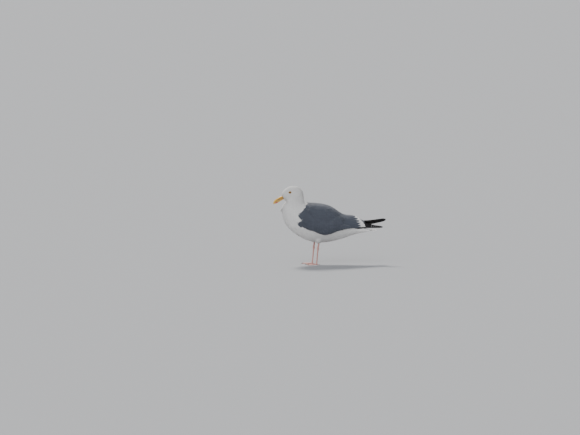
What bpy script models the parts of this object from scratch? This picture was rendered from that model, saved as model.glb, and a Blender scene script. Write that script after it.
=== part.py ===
"""Adult western gull, life size, standing at rest with its neck drawn in and its bill pointing down.

The bird faces -X with +Z up, and its left side is -Y. Tables and sizes are in millimetres, and every
mesh is written in metres. Head, neck, trunk and rump are lengths of one lofted body, parted by thin
flat cuts.
The mantle and the two folded wings are shells that lie on that body, and behind the rump the wings
close over the tail like a roof. Each wing ends in a blade of primaries, and the right blade crosses
above the left one. The feet are flat underneath and stand at Z = 0.
"""

import math

import bmesh
import bpy
import numpy as np
from mathutils import Matrix, Vector
from mathutils.bvhtree import BVHTree

MM = 0.001
GAP = 0.3  # left between two nodes that meet
SHELL_GAP = 0.8  # the same, under the shells of the back and wings
LATERAL = Vector((0, 1, 0))
SIDES = {"l": -1, "r": 1}

# The body from the bill's base to the end of the tail coverts. Each row is one tilted cross-section:
# X and Z of its upper end, X and Z of its lower end, its half width, and how far above its middle it
# is widest, as a share of its half height.
BODY_SECTIONS = (
    (-145.4, 312.8, -135.6, 294.4, 8.8, 0.00),
    (-144.3, 323.5, -131.0, 290.5, 14.5, -0.05),
    (-134.5, 338.5, -127.0, 288.7, 19.0, -0.10),
    (-117.5, 350.5, -125.0, 287.8, 22.3, -0.12),
    (-93.0, 355.5, -124.0, 286.3, 25.3, -0.12),
    (-70.0, 351.5, -125.0, 284.0, 28.0, -0.10),
    (-54.0, 336.0, -130.5, 279.0, 30.3, -0.08),
    (-47.0, 315.0, -139.5, 270.5, 33.5, -0.05),
    (-45.0, 298.5, -145.0, 258.5, 37.5, 0.00),
    (-43.0, 286.0, -145.0, 243.5, 42.0, 0.00),
    (-36.0, 277.5, -142.5, 223.5, 48.0, 0.00),
    (-20.0, 273.5, -137.5, 200.5, 54.5, 0.00),
    (8.0, 272.0, -117.5, 166.0, 61.0, 0.02),
    (38.0, 268.0, -78.5, 133.5, 65.0, 0.03),
    (68.0, 259.5, -23.0, 105.0, 66.0, 0.05),
    (94.0, 246.0, 36.0, 97.5, 63.0, 0.05),
    (119.0, 226.5, 94.0, 105.5, 55.0, 0.05),
    (147.0, 204.0, 139.0, 118.0, 45.0, 0.00),
    (177.0, 186.0, 174.0, 130.0, 35.0, -0.05),
    (206.0, 171.5, 205.0, 138.0, 27.0, -0.05),
    (232.0, 160.5, 232.0, 142.0, 22.0, 0.00),
)
BODY_LENGTHS = ("head", "neck", "trunk", "rump")
CUTS = (0, 6.6, 10.4, 16.4, 20)  # section numbers where each length begins, and where the last one ends
BODY_RINGS = (15, 7, 12, 8)
BODY_FACETS = 28
FULLNESS = 0.88  # 1 is a plain ellipse, and less fills out the four quarters

# Lower and upper edges of the folded wing, and how far it stands out beyond the rump, along X.
WING_LOW = ((-73, 206), (-64, 184), (-54, 173), (-30, 162), (2, 151.5), (27, 139.5), (49, 136), (71, 140.5),
            (96, 150.5), (143, 161.5), (188, 164), (228, 165.5))
WING_TOP_ANGLE = ((-73, 66), (-64, 46), (-50, 32), (-36, 30), (-20, 40), (10, 48), (50, 49),
                  (85, 43), (110, 31), (130, 13), (142, 1), (228, 1))
ROOF_TOP = ((90, 252), (104, 244), (118, 235.5), (138, 224.5), (158, 221.5), (177, 221), (192, 213.5),
            (210, 203), (228, 194.5))
ROOF_HALF = ((90, 60), (120, 57), (150, 49), (180, 36), (205, 26), (228, 17))
WING_THICKNESS = ((-73, 2.2), (-64, 6), (-30, 8.5), (60, 8), (140, 6.5), (228, 3.6))
WING_STATIONS = (-73, -68, -61, -52, -44, -38, -32, -26, -18, -8, 4, 18, 34, 50, 66, 81, 95, 108, 120, 131, 142,
                 156, 172, 190, 208, 228)
MANTLE_FRONT, MANTLE_REAR = -38, 142
MANTLE_THICKNESS = 5.0
EDGE_SHARE = 0.35  # of a shell's thickness that is left at its upper and lower edges

# Each blade of primaries from the tertials to its tip: X, Y of its middle on the right side, Z, width,
# and how far its top leans to the right, in degrees. Both blades lean in, like the sides of a tent.
BLADES = {
    "l": ((228.6, -11.0, 174.0, 25.0, 32), (250.0, -5.0, 171.0, 21.0, 34), (272.0, 1.5, 167.5, 14.5, 38),
          (295.0, 6.5, 166.0, 11.0, 42), (309.0, 9.0, 165.0, 7.5, 44), (316.0, 10.0, 164.4, 3.0, 44)),
    "r": ((228.6, 11.0, 183.5, 26.0, -30), (250.0, 5.5, 185.5, 23.0, -32), (275.0, -1.0, 190.5, 19.5, -34),
          (300.0, -6.0, 195.5, 16.0, -36), (318.0, -9.0, 199.0, 10.5, -38), (326.0, -10.0, 200.5, 4.5, -38)),
}
BLADE_THICKNESS = 3.4

TAIL_FRONT, TAIL_REAR = 232.0, 284.0
TAIL_MIDDLE_Z, TAIL_ARCH = 149.5, 4.0
TAIL_ROOT = (22.0, 17.0)  # half width and depth where it leaves the coverts
TAIL_TIP = (31.0, 3.6)

# The bill lies along its own axis, from the middle of the face's flat front.
BILL_BASE = Vector((-140.5, 0, 303.6))
BILL_PITCH = math.radians(28)
BILL_FORWARD = Vector((-math.cos(BILL_PITCH), 0, -math.sin(BILL_PITCH)))
BILL_UP = Vector((-math.sin(BILL_PITCH), 0, math.cos(BILL_PITCH)))
BILL_LENGTH = 53.0
CULMEN = ((0, 8.9), (12, 9.5), (24, 9.6), (34, 8.8), (42, 6.3), (48, 2.4), (51.5, -2.0), (53, -5.4))
MOUTH = ((0, -1.6), (12, -0.8), (24, -0.8), (34, -1.8), (41, -3.2), (46, -4.8), (50, -6.4), (53, -7.6))
LOWER_EDGE = ((0, -8.3), (12, -8.5), (24, -8.9), (33, -9.5), (40, -8.8), (45, -7.4), (48, -6.7))
BILL_HALF = ((0, 7.0), (12, 5.9), (24, 5.0), (34, 4.4), (44, 3.4), (50, 2.2), (53, 1.0))
LOWER_LENGTH = 48.0

EYE_AT = (-111.0, 327.5)
EYE_RADIUS = 7.0
EYE_STANDS_OUT = 1.7

# Per side: X of the foot, how far the ankle and the knee end lie behind it, and Y.
LEGS = {"l": (8.5, 5.5, 9.0, -27.0), "r": (-4.0, 6.5, 9.0, 27.0)}
FOOT_TOP, ANKLE_Z, TIBIA_TOP = 8.0, 74.0, 97.2
THIGH_RINGS = ((130, 18), (115, 17), (106, 13.5), (100.5, 9.5), (97.5, 6.8))

# Toes of one foot: bearing from straight ahead (positive is outwards), length without the claw,
# half width at the base and claw length.
TOES = {"inner": (-27, 36, 3.0, 7.5), "middle": (0, 46, 3.2, 8.5), "outer": (26, 43, 3.1, 7.0),
        "hind": (168, 11, 2.2, 4.5)}
TOE_HEIGHT = 5.0
WEB_BOTTOM, WEB_TOP = 0.5, 2.1


def profile(points):
    """A smooth function through (x, value) points, which never overshoots them."""
    xs, ys = (np.array(column, float) for column in zip(*points))
    steps = np.diff(xs)
    slopes = np.diff(ys) / steps
    tangents = np.concatenate([[slopes[0]], (slopes[1:] + slopes[:-1]) / 2, [slopes[-1]]])
    for i, slope in enumerate(slopes):
        if slope == 0:
            tangents[i] = tangents[i + 1] = 0
            continue
        a, b = tangents[i] / slope, tangents[i + 1] / slope
        if i and slopes[i - 1] * slope < 0:
            tangents[i] = 0
        elif math.hypot(a, b) > 3:
            tangents[i] *= 3 / math.hypot(a, b)
            tangents[i + 1] *= 3 / math.hypot(a, b)

    def value(x):
        x = min(max(x, xs[0]), xs[-1])
        i = min(int(np.searchsorted(xs, x, "right")) - 1, len(steps) - 1)
        t = (x - xs[i]) / steps[i]
        return float(
            ys[i] * (1 + 2 * t) * (1 - t) ** 2 + ys[i + 1] * t * t * (3 - 2 * t)
            + steps[i] * (tangents[i] * t * (1 - t) ** 2 - tangents[i + 1] * t * t * (1 - t))
        )

    return value


def between(rows, s):
    """The row at station number s, on a smooth curve through all the rows."""
    rows = np.asarray(rows, float)
    i = min(max(int(s), 0), len(rows) - 2)
    t = s - i
    before, here = rows[max(i - 1, 0)], rows[i]
    after, beyond = rows[i + 1], rows[min(i + 2, len(rows) - 1)]
    return 0.5 * (
        2 * here + (after - before) * t + (2 * before - 5 * here + 4 * after - beyond) * t**2
        + (3 * here - before - 3 * after + beyond) * t**3
    )


def material(name, colour, roughness):
    made = bpy.data.materials.new(name)
    made.use_nodes = True
    shader = made.node_tree.nodes["Principled BSDF"]
    shader.inputs["Base Color"].default_value = (*colour, 1)
    shader.inputs["Roughness"].default_value = roughness
    return made


def add_object(name, bm, look):
    """Makes a bmesh in millimetres the object of one node, in metres, with its faces pointing out."""
    bmesh.ops.recalc_face_normals(bm, faces=bm.faces)
    bm.transform(Matrix.Scale(MM, 4))
    mesh = bpy.data.meshes.new(name)
    bm.to_mesh(mesh)
    bm.free()
    mesh.shade_smooth()
    mesh.set_sharp_from_angle(angle=math.radians(50))
    obj = bpy.data.objects.new(name, mesh)
    bpy.context.scene.collection.objects.link(obj)
    mesh.materials.append(look)
    return obj


def lofted(rings):
    """A closed bmesh through rings of equal length, with a flat cap at each end."""
    bm = bmesh.new()
    rows = [[bm.verts.new(point) for point in ring] for ring in rings]
    for near, far in zip(rows, rows[1:]):
        for i in range(len(near)):
            j = (i + 1) % len(near)
            bm.faces.new((near[i], near[j], far[j], far[i]))
    bm.faces.new(rows[0])
    bm.faces.new(rows[-1])
    return bm


def shell(outer, inner):
    """A closed bmesh between two grids of points, rows along the shell and columns across it."""
    bm = bmesh.new()
    top = [[bm.verts.new(point) for point in row] for row in outer]
    under = [[bm.verts.new(point) for point in row] for row in inner]
    last_row, last = len(top) - 1, len(top[0]) - 1
    for grid in (top, under):
        for near, far in zip(grid, grid[1:]):
            for i in range(last):
                bm.faces.new((near[i], near[i + 1], far[i + 1], far[i]))
    for column in (0, last):
        for i in range(last_row):
            bm.faces.new((top[i][column], top[i + 1][column], under[i + 1][column], under[i][column]))
    for row in (0, last_row):
        for i in range(last):
            bm.faces.new((top[row][i], top[row][i + 1], under[row][i + 1], under[row][i]))
    return bm


def hide_cutter(obj):
    obj.hide_render = True
    obj.display_type = "WIRE"


def boolean(obj, other, operation):
    change = obj.modifiers.new(operation.title(), "BOOLEAN")
    change.operation = operation
    change.object = other


# Body: head, neck, trunk and rump


def body_ring(s, shift=0.0, grow=0.0):
    """One cross-section of the body, moved along its own normal by shift and widened by grow."""
    top_x, top_z, low_x, low_z, half, widest = between(BODY_SECTIONS, s)
    top, low = Vector((top_x, 0, top_z)), Vector((low_x, 0, low_z))
    up = (top - low).normalized()
    middle = (top + low) / 2 + LATERAL.cross(up) * shift
    height = (top - low).length / 2 + grow
    ring = []
    for i in range(BODY_FACETS):
        angle = 2 * math.pi * i / BODY_FACETS
        rise = math.cos(angle)
        rise += widest * (1 - rise * rise)
        full = math.copysign(abs(math.sin(angle)) ** FULLNESS, math.sin(angle))
        ring.append(middle + up * height * rise + LATERAL * (half + grow) * full)
    return ring


def body_stations(length):
    return np.linspace(CUTS[length], CUTS[length + 1], BODY_RINGS[length])


def body_length(length, grow=0.0):
    """The rings of one length of the body, drawn in by half a gap at a cut, or all grown with no gap."""
    stations = body_stations(length)
    if grow:
        return [body_ring(s, grow=grow) for s in stations]
    last = len(BODY_LENGTHS) - 1
    shifts = {stations[0]: GAP / 2 if length else 0, stations[-1]: -GAP / 2 if length < last else 0}
    return [body_ring(s, shifts.get(s, 0)) for s in stations]


def make_body(looks):
    """Makes the lengths of the body and returns the head."""
    return [add_object(name, lofted(body_length(length)), looks["white"])
            for length, name in enumerate(BODY_LENGTHS)][0]


def make_eyes(head, body_tree, looks):
    """Eyeballs sunk in the head's sides, each in a socket with a gap all round."""
    x, z = EYE_AT
    for side, sign in SIDES.items():
        cheek = body_tree.ray_cast(Vector((x, 0, z)), LATERAL * sign)[3]
        centre = Vector((x, sign * (cheek + EYE_STANDS_OUT - EYE_RADIUS), z))
        for name, radius in ((f"eye_{side}", EYE_RADIUS), (f"socket_{side}", EYE_RADIUS + GAP)):
            bm = bmesh.new()
            bmesh.ops.create_uvsphere(bm, u_segments=14, v_segments=9, radius=radius)
            bmesh.ops.rotate(bm, verts=bm.verts, matrix=Matrix.Rotation(math.pi / 2, 3, "X"))
            bmesh.ops.translate(bm, verts=bm.verts, vec=centre)
            ball = add_object(name, bm, looks["eye"])
        hide_cutter(ball)
        boolean(head, ball, "DIFFERENCE")


# Mantle and wings


def shell_point(x, z, angle, sign, reach):
    return Vector((x, sign * reach * math.sin(angle), z + reach * math.cos(angle)))


class Plumage:
    """Where the shells of the back and wings lie over the body, round an axis along the wing's lower edge."""

    def __init__(self, body_tree):
        self.tree = body_tree
        self.low, self.top_angle = profile(WING_LOW), profile(WING_TOP_ANGLE)
        self.roof_top, self.roof_half = profile(ROOF_TOP), profile(ROOF_HALF)
        self.thickness = profile(WING_THICKNESS)

    def body_reach(self, x, angle, sign):
        """From the axis out to the body's surface, or nothing where the body ends below the axis."""
        ray = Vector((0, sign * math.sin(angle), math.cos(angle)))
        hit = self.tree.ray_cast(Vector((x, 0, self.low(x))), ray)
        return hit[3] if hit[0] is not None else 0.0

    def roof_reach(self, x, angle):
        """From the axis out to the closed wings' own surface behind the widest part of the body."""
        if x < ROOF_TOP[0][0]:
            return 0.0
        height = self.roof_top(x) - self.low(x)
        return 1 / math.hypot(math.sin(angle) / self.roof_half(x), math.cos(angle) / height)

    def upper_edge(self, x, sign):
        """The angle where mantle and wing meet, never nearer to the middle than half a gap."""
        reach = max(self.body_reach(x, 0, sign), self.roof_reach(x, 0))
        return max(math.radians(self.top_angle(x)), 1.5 * GAP / reach)

    def clear(self, grid):
        """Moves points out from the axis until the sides and diagonals between them lie off the body."""
        for _ in range(4):
            for near, far in zip(grid, grid[1:]):
                for i in range(len(near) - 1):
                    corners = [near[i], near[i + 1], far[i], far[i + 1]]
                    for one, two in ((0, 1), (0, 2), (0, 3), (1, 2), (1, 3), (2, 3)):
                        middle = (corners[one] + corners[two]) / 2
                        axis = Vector((middle.x, 0, self.low(middle.x)))
                        out = (middle - axis).normalized()
                        hit = self.tree.ray_cast(axis, out)
                        short = SHELL_GAP + hit[3] - (middle - axis).length if hit[0] is not None else 0
                        if short > 0:
                            corners[one] += out * short
                            corners[two] += out * short

    def layer(self, stations, angles, thicknesses):
        """Outer and inner points of a shell; angles run across it from the top, negative on the left."""
        inner, outer = [], []
        for x, row in zip(stations, angles):
            inner.append([])
            for angle in row:
                sign = math.copysign(1, angle)
                reach = self.body_reach(x, abs(angle), sign) + SHELL_GAP
                inner[-1].append(shell_point(x, self.low(x), abs(angle), sign, reach))
        self.clear(inner)
        for x, row, points, depths in zip(stations, angles, inner, thicknesses):
            axis = Vector((x, 0, self.low(x)))
            outer.append([])
            for i, (angle, depth) in enumerate(zip(row, depths)):
                sign = math.copysign(1, angle)
                near = (points[i] - axis).length
                far = max(near + depth, self.roof_reach(x, abs(angle)))
                points[i] = shell_point(x, axis.z, abs(angle), sign, max(near, far - depth))
                outer[-1].append(shell_point(x, axis.z, abs(angle), sign, far))
        return outer, inner


def make_wing(side, sign, plumage, looks, columns=10):
    angles, thicknesses = [], []
    for x in WING_STATIONS:
        first, full = plumage.upper_edge(x, sign), plumage.thickness(x)
        shares = [i / (columns - 1) for i in range(columns)]
        angles.append([sign * (first + share * (math.pi / 2 - first)) for share in shares])
        thicknesses.append([full * (EDGE_SHARE + (1 - EDGE_SHARE) * math.sin(math.pi * s) ** 0.6) for s in shares])
    outer, inner = plumage.layer(WING_STATIONS, angles, thicknesses)
    add_object(f"wing_{side}", shell(outer, inner), looks["grey"])


def make_mantle(plumage, looks, columns=15):
    """The saddle of back feathers and scapulars between the wings."""
    stations = [x for x in WING_STATIONS if MANTLE_FRONT <= x <= MANTLE_REAR]
    angles, thicknesses = [], []
    for x in stations:
        opening = math.radians(6) + (x - MANTLE_FRONT) * math.radians(2.6)
        reach = plumage.body_reach(x, 0, 1)
        edge = min(opening, plumage.upper_edge(x, 1) - 1.3 * GAP / reach)
        full = MANTLE_THICKNESS * min(1.0, 0.3 + (x - MANTLE_FRONT) / 20)
        shares = [2 * i / (columns - 1) - 1 for i in range(columns)]
        angles.append([edge * share for share in shares])
        thicknesses.append([full * (1 - (1 - EDGE_SHARE) * abs(share) ** 3) for share in shares])
    outer, inner = plumage.layer(stations, angles, thicknesses)
    add_object("mantle", shell(outer, inner), looks["grey"])


def make_blade(side, rows, looks, count=9, facets=10):
    """One wing's folded primaries: a thin leaning blade that tapers to its tip."""
    rings = []
    for s in np.linspace(0, len(rows) - 1, count):
        x, y, z, width, lean = between(rows, s)
        tilt = math.radians(lean)
        up = Vector((0, math.sin(tilt), math.cos(tilt)))
        out = Vector((0, math.cos(tilt), -math.sin(tilt)))
        depth = BLADE_THICKNESS * min(1.0, 0.45 + width / 24)
        ring = []
        for i in range(facets):
            angle = 2 * math.pi * i / facets
            ring.append(Vector((x, y, z)) + up * width / 2 * math.cos(angle) + out * depth / 2 * math.sin(angle))
        rings.append(ring)
    add_object(f"primaries_{side}", lofted(rings), looks["black"])


def make_tail(looks, count=6, facets=16):
    rings = []
    for share in np.linspace(0, 1, count):
        x = TAIL_FRONT + GAP + share * (TAIL_REAR - TAIL_FRONT - GAP)
        ease = share * (2 - share)
        half = TAIL_ROOT[0] + (TAIL_TIP[0] - TAIL_ROOT[0]) * ease
        depth = TAIL_ROOT[1] + (TAIL_TIP[1] - TAIL_ROOT[1]) * ease
        ring = []
        for i in range(facets):
            angle = 2 * math.pi * i / facets
            across = half * math.sin(angle)
            arch = TAIL_ARCH * share * (1 - (across / half) ** 2)
            z = TAIL_MIDDLE_Z + (1 - share) * 2.7 - TAIL_ARCH * share / 2 + arch
            ring.append(Vector((x, across, z + depth / 2 * math.cos(angle))))
        rings.append(ring)
    add_object("tail", lofted(rings), looks["white"])


# Bill


def make_mandible(name, top, bottom, length, look, count=11, facets=14):
    """One half of the bill: rings across its axis, round at the ridge and flatter at the mouth."""
    half_width = profile(BILL_HALF)
    rings = []
    for t in np.linspace(GAP, length, count):
        high, low, half = top(t), bottom(t), half_width(t)
        ring = []
        for i in range(facets):
            angle = 2 * math.pi * i / facets
            rise = math.cos(angle)
            full = abs(math.sin(angle)) ** 0.8 * math.copysign(1, math.sin(angle))
            height = (high + low) / 2 + (high - low) / 2 * rise
            ring.append(BILL_BASE + BILL_FORWARD * t + BILL_UP * height + LATERAL * half * full)
        rings.append(ring)
    return add_object(name, lofted(rings), look)


def make_bill(looks):
    culmen, mouth, lower = profile(CULMEN), profile(MOUTH), profile(LOWER_EDGE)
    make_mandible("bill_upper", culmen, lambda t: mouth(t) + GAP / 2, BILL_LENGTH, looks["bill"])
    make_mandible("bill_lower", lambda t: mouth(t) - GAP / 2, lower, LOWER_LENGTH, looks["bill"])


# Legs and feet


def upright_rings(centres, facets):
    """Level elliptical rings at (X, Y, Z, half length, half width)."""
    turns = [2 * math.pi * i / facets for i in range(facets)]
    return [[Vector((x + long * math.cos(a), y + wide * math.sin(a), z)) for a in turns]
            for x, y, z, long, wide in centres]


def make_thigh(side, x, y, trunk, looks):
    """The feathered top of the leg, cut to the belly that it hangs from."""
    rings = upright_rings([(x, y, z, 1.2 * r, r) for z, r in THIGH_RINGS], 18)
    thigh = add_object(f"thigh_{side}", lofted(rings), looks["white"])
    boolean(thigh, trunk, "DIFFERENCE")


def make_leg(side, foot_x, ankle_back, knee_back, y, looks):
    """Bare tibia, ankle and tarsus in one length."""
    ankle_x, top_x = foot_x + ankle_back, foot_x + knee_back
    centres = [
        (foot_x, y, FOOT_TOP + GAP, 3.4, 3.4),
        (foot_x + 0.08 * ankle_back, y, 13, 3.2, 2.7),
        (foot_x + 0.45 * ankle_back, y, 34, 3.2, 2.5),
        (foot_x + 0.85 * ankle_back, y, 62, 3.5, 2.8),
        (ankle_x + 0.4, y, ANKLE_Z - 4, 4.9, 3.7),
        (ankle_x + 0.6, y, ANKLE_Z, 5.5, 4.0),
        (ankle_x, y, ANKLE_Z + 5, 4.4, 3.6),
        (top_x, y, TIBIA_TOP - 8, 4.0, 3.4),
        (top_x, y, TIBIA_TOP, 4.4, 3.8),
    ]
    add_object(f"leg_{side}", lofted(upright_rings(centres, 12)), looks["leg"])


def toe_frame(foot, sign, bearing):
    """The toe's direction and the direction across it, level on the ground."""
    turn = math.radians(bearing) * sign
    along = Vector((-math.cos(turn), math.sin(turn), 0))
    return along, Vector((-along.y, along.x, 0))


def toe_rings(foot, along, across, length, half, depth, facets=7, count=7):
    """Toe with a swelling at each joint, reaching below the floor by depth for the cut that makes the sole."""
    rings = []
    for share in np.linspace(0, 1, count):
        swell = 1 + 0.10 * math.cos(share * 6 * math.pi)
        wide, high = half * (1 - 0.32 * share) * swell, TOE_HEIGHT * half / 3.2 * (1 - 0.35 * share) * swell
        centre = foot + along * length * share
        ring = []
        for i in range(facets + 1):
            angle = math.pi * i / facets
            rise = high * math.sin(angle) if 0 < i < facets else -depth
            ring.append(centre + across * wide * math.cos(angle) + Vector((0, 0, rise)))
        rings.append(ring)
    return rings


def claw_rings(start, along, across, length, half, facets=6, count=5):
    """A short claw that curves down to the ground in front of its toe."""
    rings = []
    for share in np.linspace(0, 1, count):
        radius = half * (1 - 0.8 * share)
        centre = start + along * length * share + Vector((0, 0, half + 1.0 - (half + 0.4) * share**1.6))
        up = Vector((0, 0, 1))
        turns = [2 * math.pi * i / facets for i in range(facets)]
        rings.append([centre + across * radius * math.cos(a) + up * radius * math.sin(a) for a in turns])
    return rings


def web_rings(foot, sign, facets=8):
    """Two upright walls' worth of points round the webs: the edge from toe to toe sags between them."""
    ends = []
    for name in ("inner", "middle", "outer"):
        bearing, length = TOES[name][:2]
        ends.append(foot + toe_frame(foot, sign, bearing)[0] * length * 0.93)
    edge = [foot + Vector((2.5, 0, 0))]
    for near, far in zip(ends, ends[1:]):
        for i in range(facets):
            share = i / facets
            point = near.lerp(far, share)
            edge.append(point + (foot - point) * 0.20 * math.sin(math.pi * share))
    edge.append(ends[-1])
    return [[Vector((p.x, p.y, z)) for p in edge] for z in (WEB_BOTTOM, WEB_TOP)]


def make_foot(side, sign, x, y, looks):
    """Toes, webs and heel joined in one, then cut off level for the sole."""
    foot = Vector((x, y, 0))
    hub = add_object(f"foot_{side}", lofted(upright_rings(
        [(x - 1, y, -3, 4.6, 4.2), (x - 1, y, 4, 4.6, 4.2), (x, y, FOOT_TOP, 3.4, 3.4)], 12)), looks["web"])
    pieces = [lofted(web_rings(foot, sign))]
    for name, (bearing, length, half, claw) in TOES.items():
        along, across = toe_frame(foot, sign, bearing)
        pieces.append(lofted(toe_rings(foot, along, across, length, half, 1 + 0.3 * len(pieces))))
        start = foot + along * (length + GAP)
        nail = claw_rings(start, along, across, claw, half * 0.5)
        add_object(f"claw_{name}_{side}", lofted(nail), looks["claw"])
    for number, piece in enumerate(pieces):
        part = add_object(f"foot_piece_{number}_{side}", piece, looks["web"])
        hide_cutter(part)
        boolean(hub, part, "UNION")
    bm = bmesh.new()
    bmesh.ops.create_cube(bm, size=200, matrix=Matrix.Translation((x, y, -100)))
    floor = add_object(f"floor_{side}", bm, looks["web"])
    hide_cutter(floor)
    boolean(hub, floor, "DIFFERENCE")


def centre_on_origin():
    """Puts the origin under the middle of the bird's box, at floor level."""
    bpy.context.view_layer.update()
    shown = [o for o in bpy.data.objects if not o.hide_render]
    corners = [o.matrix_world @ Vector(c) for o in shown for c in o.bound_box]
    middle = [(min(c[i] for c in corners) + max(c[i] for c in corners)) / 2 for i in (0, 1)]
    for obj in bpy.data.objects:
        obj.location -= Vector((*middle, 0))


def main():
    for obj in list(bpy.data.objects):
        bpy.data.objects.remove(obj)
    looks = {
        "white": material("white_plumage", (0.80, 0.79, 0.77), 0.85),
        "grey": material("grey_plumage", (0.12, 0.135, 0.165), 0.80),
        "black": material("black_primaries", (0.02, 0.02, 0.022), 0.60),
        "bill": material("yellow_bill", (0.75, 0.45, 0.06), 0.35),
        "eye": material("eye", (0.45, 0.33, 0.10), 0.10),
        "leg": material("pink_leg", (0.62, 0.33, 0.31), 0.50),
        "web": material("pink_web", (0.64, 0.35, 0.33), 0.50),
        "claw": material("dark_claw", (0.05, 0.04, 0.04), 0.40),
    }
    whole = lofted([body_ring(s) for s in sorted({s for length in range(4) for s in body_stations(length)})])
    body_tree = BVHTree.FromBMesh(whole)
    whole.free()
    head = make_body(looks)
    make_eyes(head, body_tree, looks)
    make_bill(looks)
    plumage = Plumage(body_tree)
    make_mantle(plumage, looks)
    make_tail(looks)
    grown = add_object("trunk_cutter", lofted(body_length(2, grow=GAP)), looks["white"])
    hide_cutter(grown)
    for side, sign in SIDES.items():
        foot_x, ankle_back, knee_back, y = LEGS[side]
        make_wing(side, sign, plumage, looks)
        make_blade(side, BLADES[side], looks)
        make_thigh(side, foot_x + knee_back, y, grown, looks)
        make_leg(side, foot_x, ankle_back, knee_back, y, looks)
        make_foot(side, sign, foot_x, y, looks)
    centre_on_origin()


main()
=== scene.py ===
"""Looks of the western gull: skin, feathers, eyes, bill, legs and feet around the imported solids.

The bird faces -X, its left side is -Y and the floor is Z = 0. All sizes are in metres.
"""

import math

import bmesh
import bpy
import numpy as np
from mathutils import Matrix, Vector
from mathutils.bvhtree import BVHTree
from mathutils.kdtree import KDTree


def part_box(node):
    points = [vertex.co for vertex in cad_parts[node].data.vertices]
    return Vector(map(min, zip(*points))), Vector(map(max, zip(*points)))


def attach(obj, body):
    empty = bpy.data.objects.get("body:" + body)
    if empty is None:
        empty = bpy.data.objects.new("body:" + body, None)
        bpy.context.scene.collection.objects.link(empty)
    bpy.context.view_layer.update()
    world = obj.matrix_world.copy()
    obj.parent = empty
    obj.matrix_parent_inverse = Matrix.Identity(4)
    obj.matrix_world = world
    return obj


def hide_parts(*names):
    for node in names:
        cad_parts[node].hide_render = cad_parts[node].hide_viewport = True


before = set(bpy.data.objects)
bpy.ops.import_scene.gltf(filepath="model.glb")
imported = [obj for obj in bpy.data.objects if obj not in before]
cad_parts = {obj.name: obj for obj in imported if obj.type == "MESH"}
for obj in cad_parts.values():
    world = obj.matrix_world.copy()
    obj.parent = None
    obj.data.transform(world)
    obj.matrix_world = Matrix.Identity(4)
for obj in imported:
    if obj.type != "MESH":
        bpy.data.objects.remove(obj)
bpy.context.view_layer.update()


# ---------------------------------------------------------------- skin
# One skin runs over head, neck, trunk, rump and thighs and under the closed wings. It is thin and
# pale, grows every feather, and lies deeper than the outline by the depth of the plumage.

WHITE_NODES = ("head", "neck", "trunk", "rump", "thigh_l", "thigh_r")
SLATE_NODES = ("mantle", "wing_l", "wing_r")
SEAM = 0.0006           # half of the widest gap between two solids
SKIN_GRAIN = 0.0023     # edge length of the skin's faces
PULL_IN, PUSH_OUT = 0.6, -0.62      # the two halves of each smoothing pass
BARE_RIM = 0.0003       # plumage depth right beside bill, eyes and bare legs
DEPTH_RISE = 0.16       # how fast the plumage deepens away from them
UNDER_LIDS = 0.0018     # the skin lies this deep under the lids and behind the eyeball

# The lie of the feathers: stations from bill to tail, each with a point of the back and one of the
# belly, which are ends of the body's own sections. A feather points from its station to the next.
LIE = (
    ((-.2161, .3128), (-.2063, .2944)), ((-.2052, .3385), (-.1977, .2887)),
    ((-.1882, .3505), (-.1957, .2878)), ((-.1637, .3555), (-.1947, .2863)),
    ((-.1407, .3515), (-.1957, .2840)), ((-.1247, .3360), (-.2012, .2790)),
    ((-.1177, .3150), (-.2102, .2705)), ((-.1157, .2985), (-.2157, .2585)),
    ((-.1137, .2860), (-.2157, .2435)), ((-.1067, .2775), (-.2132, .2235)),
    ((-.0907, .2735), (-.2082, .2005)), ((-.0627, .2720), (-.1882, .1660)),
    ((-.0327, .2680), (-.1492, .1335)), ((-.0027, .2595), (-.0937, .1050)),
    ((.0233, .2460), (-.0347, .0975)), ((.0483, .2265), (.0233, .1055)),
    ((.0763, .2040), (.0683, .1180)), ((.1063, .1860), (.1033, .1300)),
    ((.1353, .1715), (.1343, .1380)), ((.1613, .1605), (.1613, .1420)),
)
LIE_STEPS = 12


def mesh_of(bm, name, smooth=False):
    """Turns a bmesh into a mesh."""
    if smooth:
        for face in bm.faces:
            face.smooth = True
    mesh = bpy.data.meshes.new(name)
    bm.to_mesh(mesh)
    bm.free()
    return mesh


def solid(*nodes):
    """A bmesh with merged copies of the frame's solids."""
    bm = bmesh.new()
    for node in nodes:
        bm.from_mesh(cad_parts[node].data)
    bmesh.ops.remove_doubles(bm, verts=bm.verts, dist=1e-6)
    bm.normal_update()
    return bm


def show(name, mesh, slot, look, *replaced):
    """Links a piece with its finish, lets it ride on the bird, and hides the solids it stands for."""
    piece = bpy.data.objects.new(name, mesh)
    mesh.name = name
    mesh.materials.append(look)
    bpy.context.scene.collection.objects.link(piece)
    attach(piece, "root")
    if replaced:
        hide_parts(*replaced)
    return piece


def remeshed(bm, grain):
    """An even mesh of quads round everything in a bmesh."""
    rough = mesh_of(bm, "rough")
    holder = bpy.data.objects.new("rough", rough)
    bpy.context.scene.collection.objects.link(holder)
    remesh = holder.modifiers.new("even", "REMESH")
    remesh.mode = "VOXEL"
    remesh.voxel_size = grain
    remesh.use_smooth_shade = True
    even = bpy.data.meshes.new_from_object(holder.evaluated_get(bpy.context.evaluated_depsgraph_get()))
    bpy.data.objects.remove(holder)
    bpy.data.meshes.remove(rough)
    return even


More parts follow.
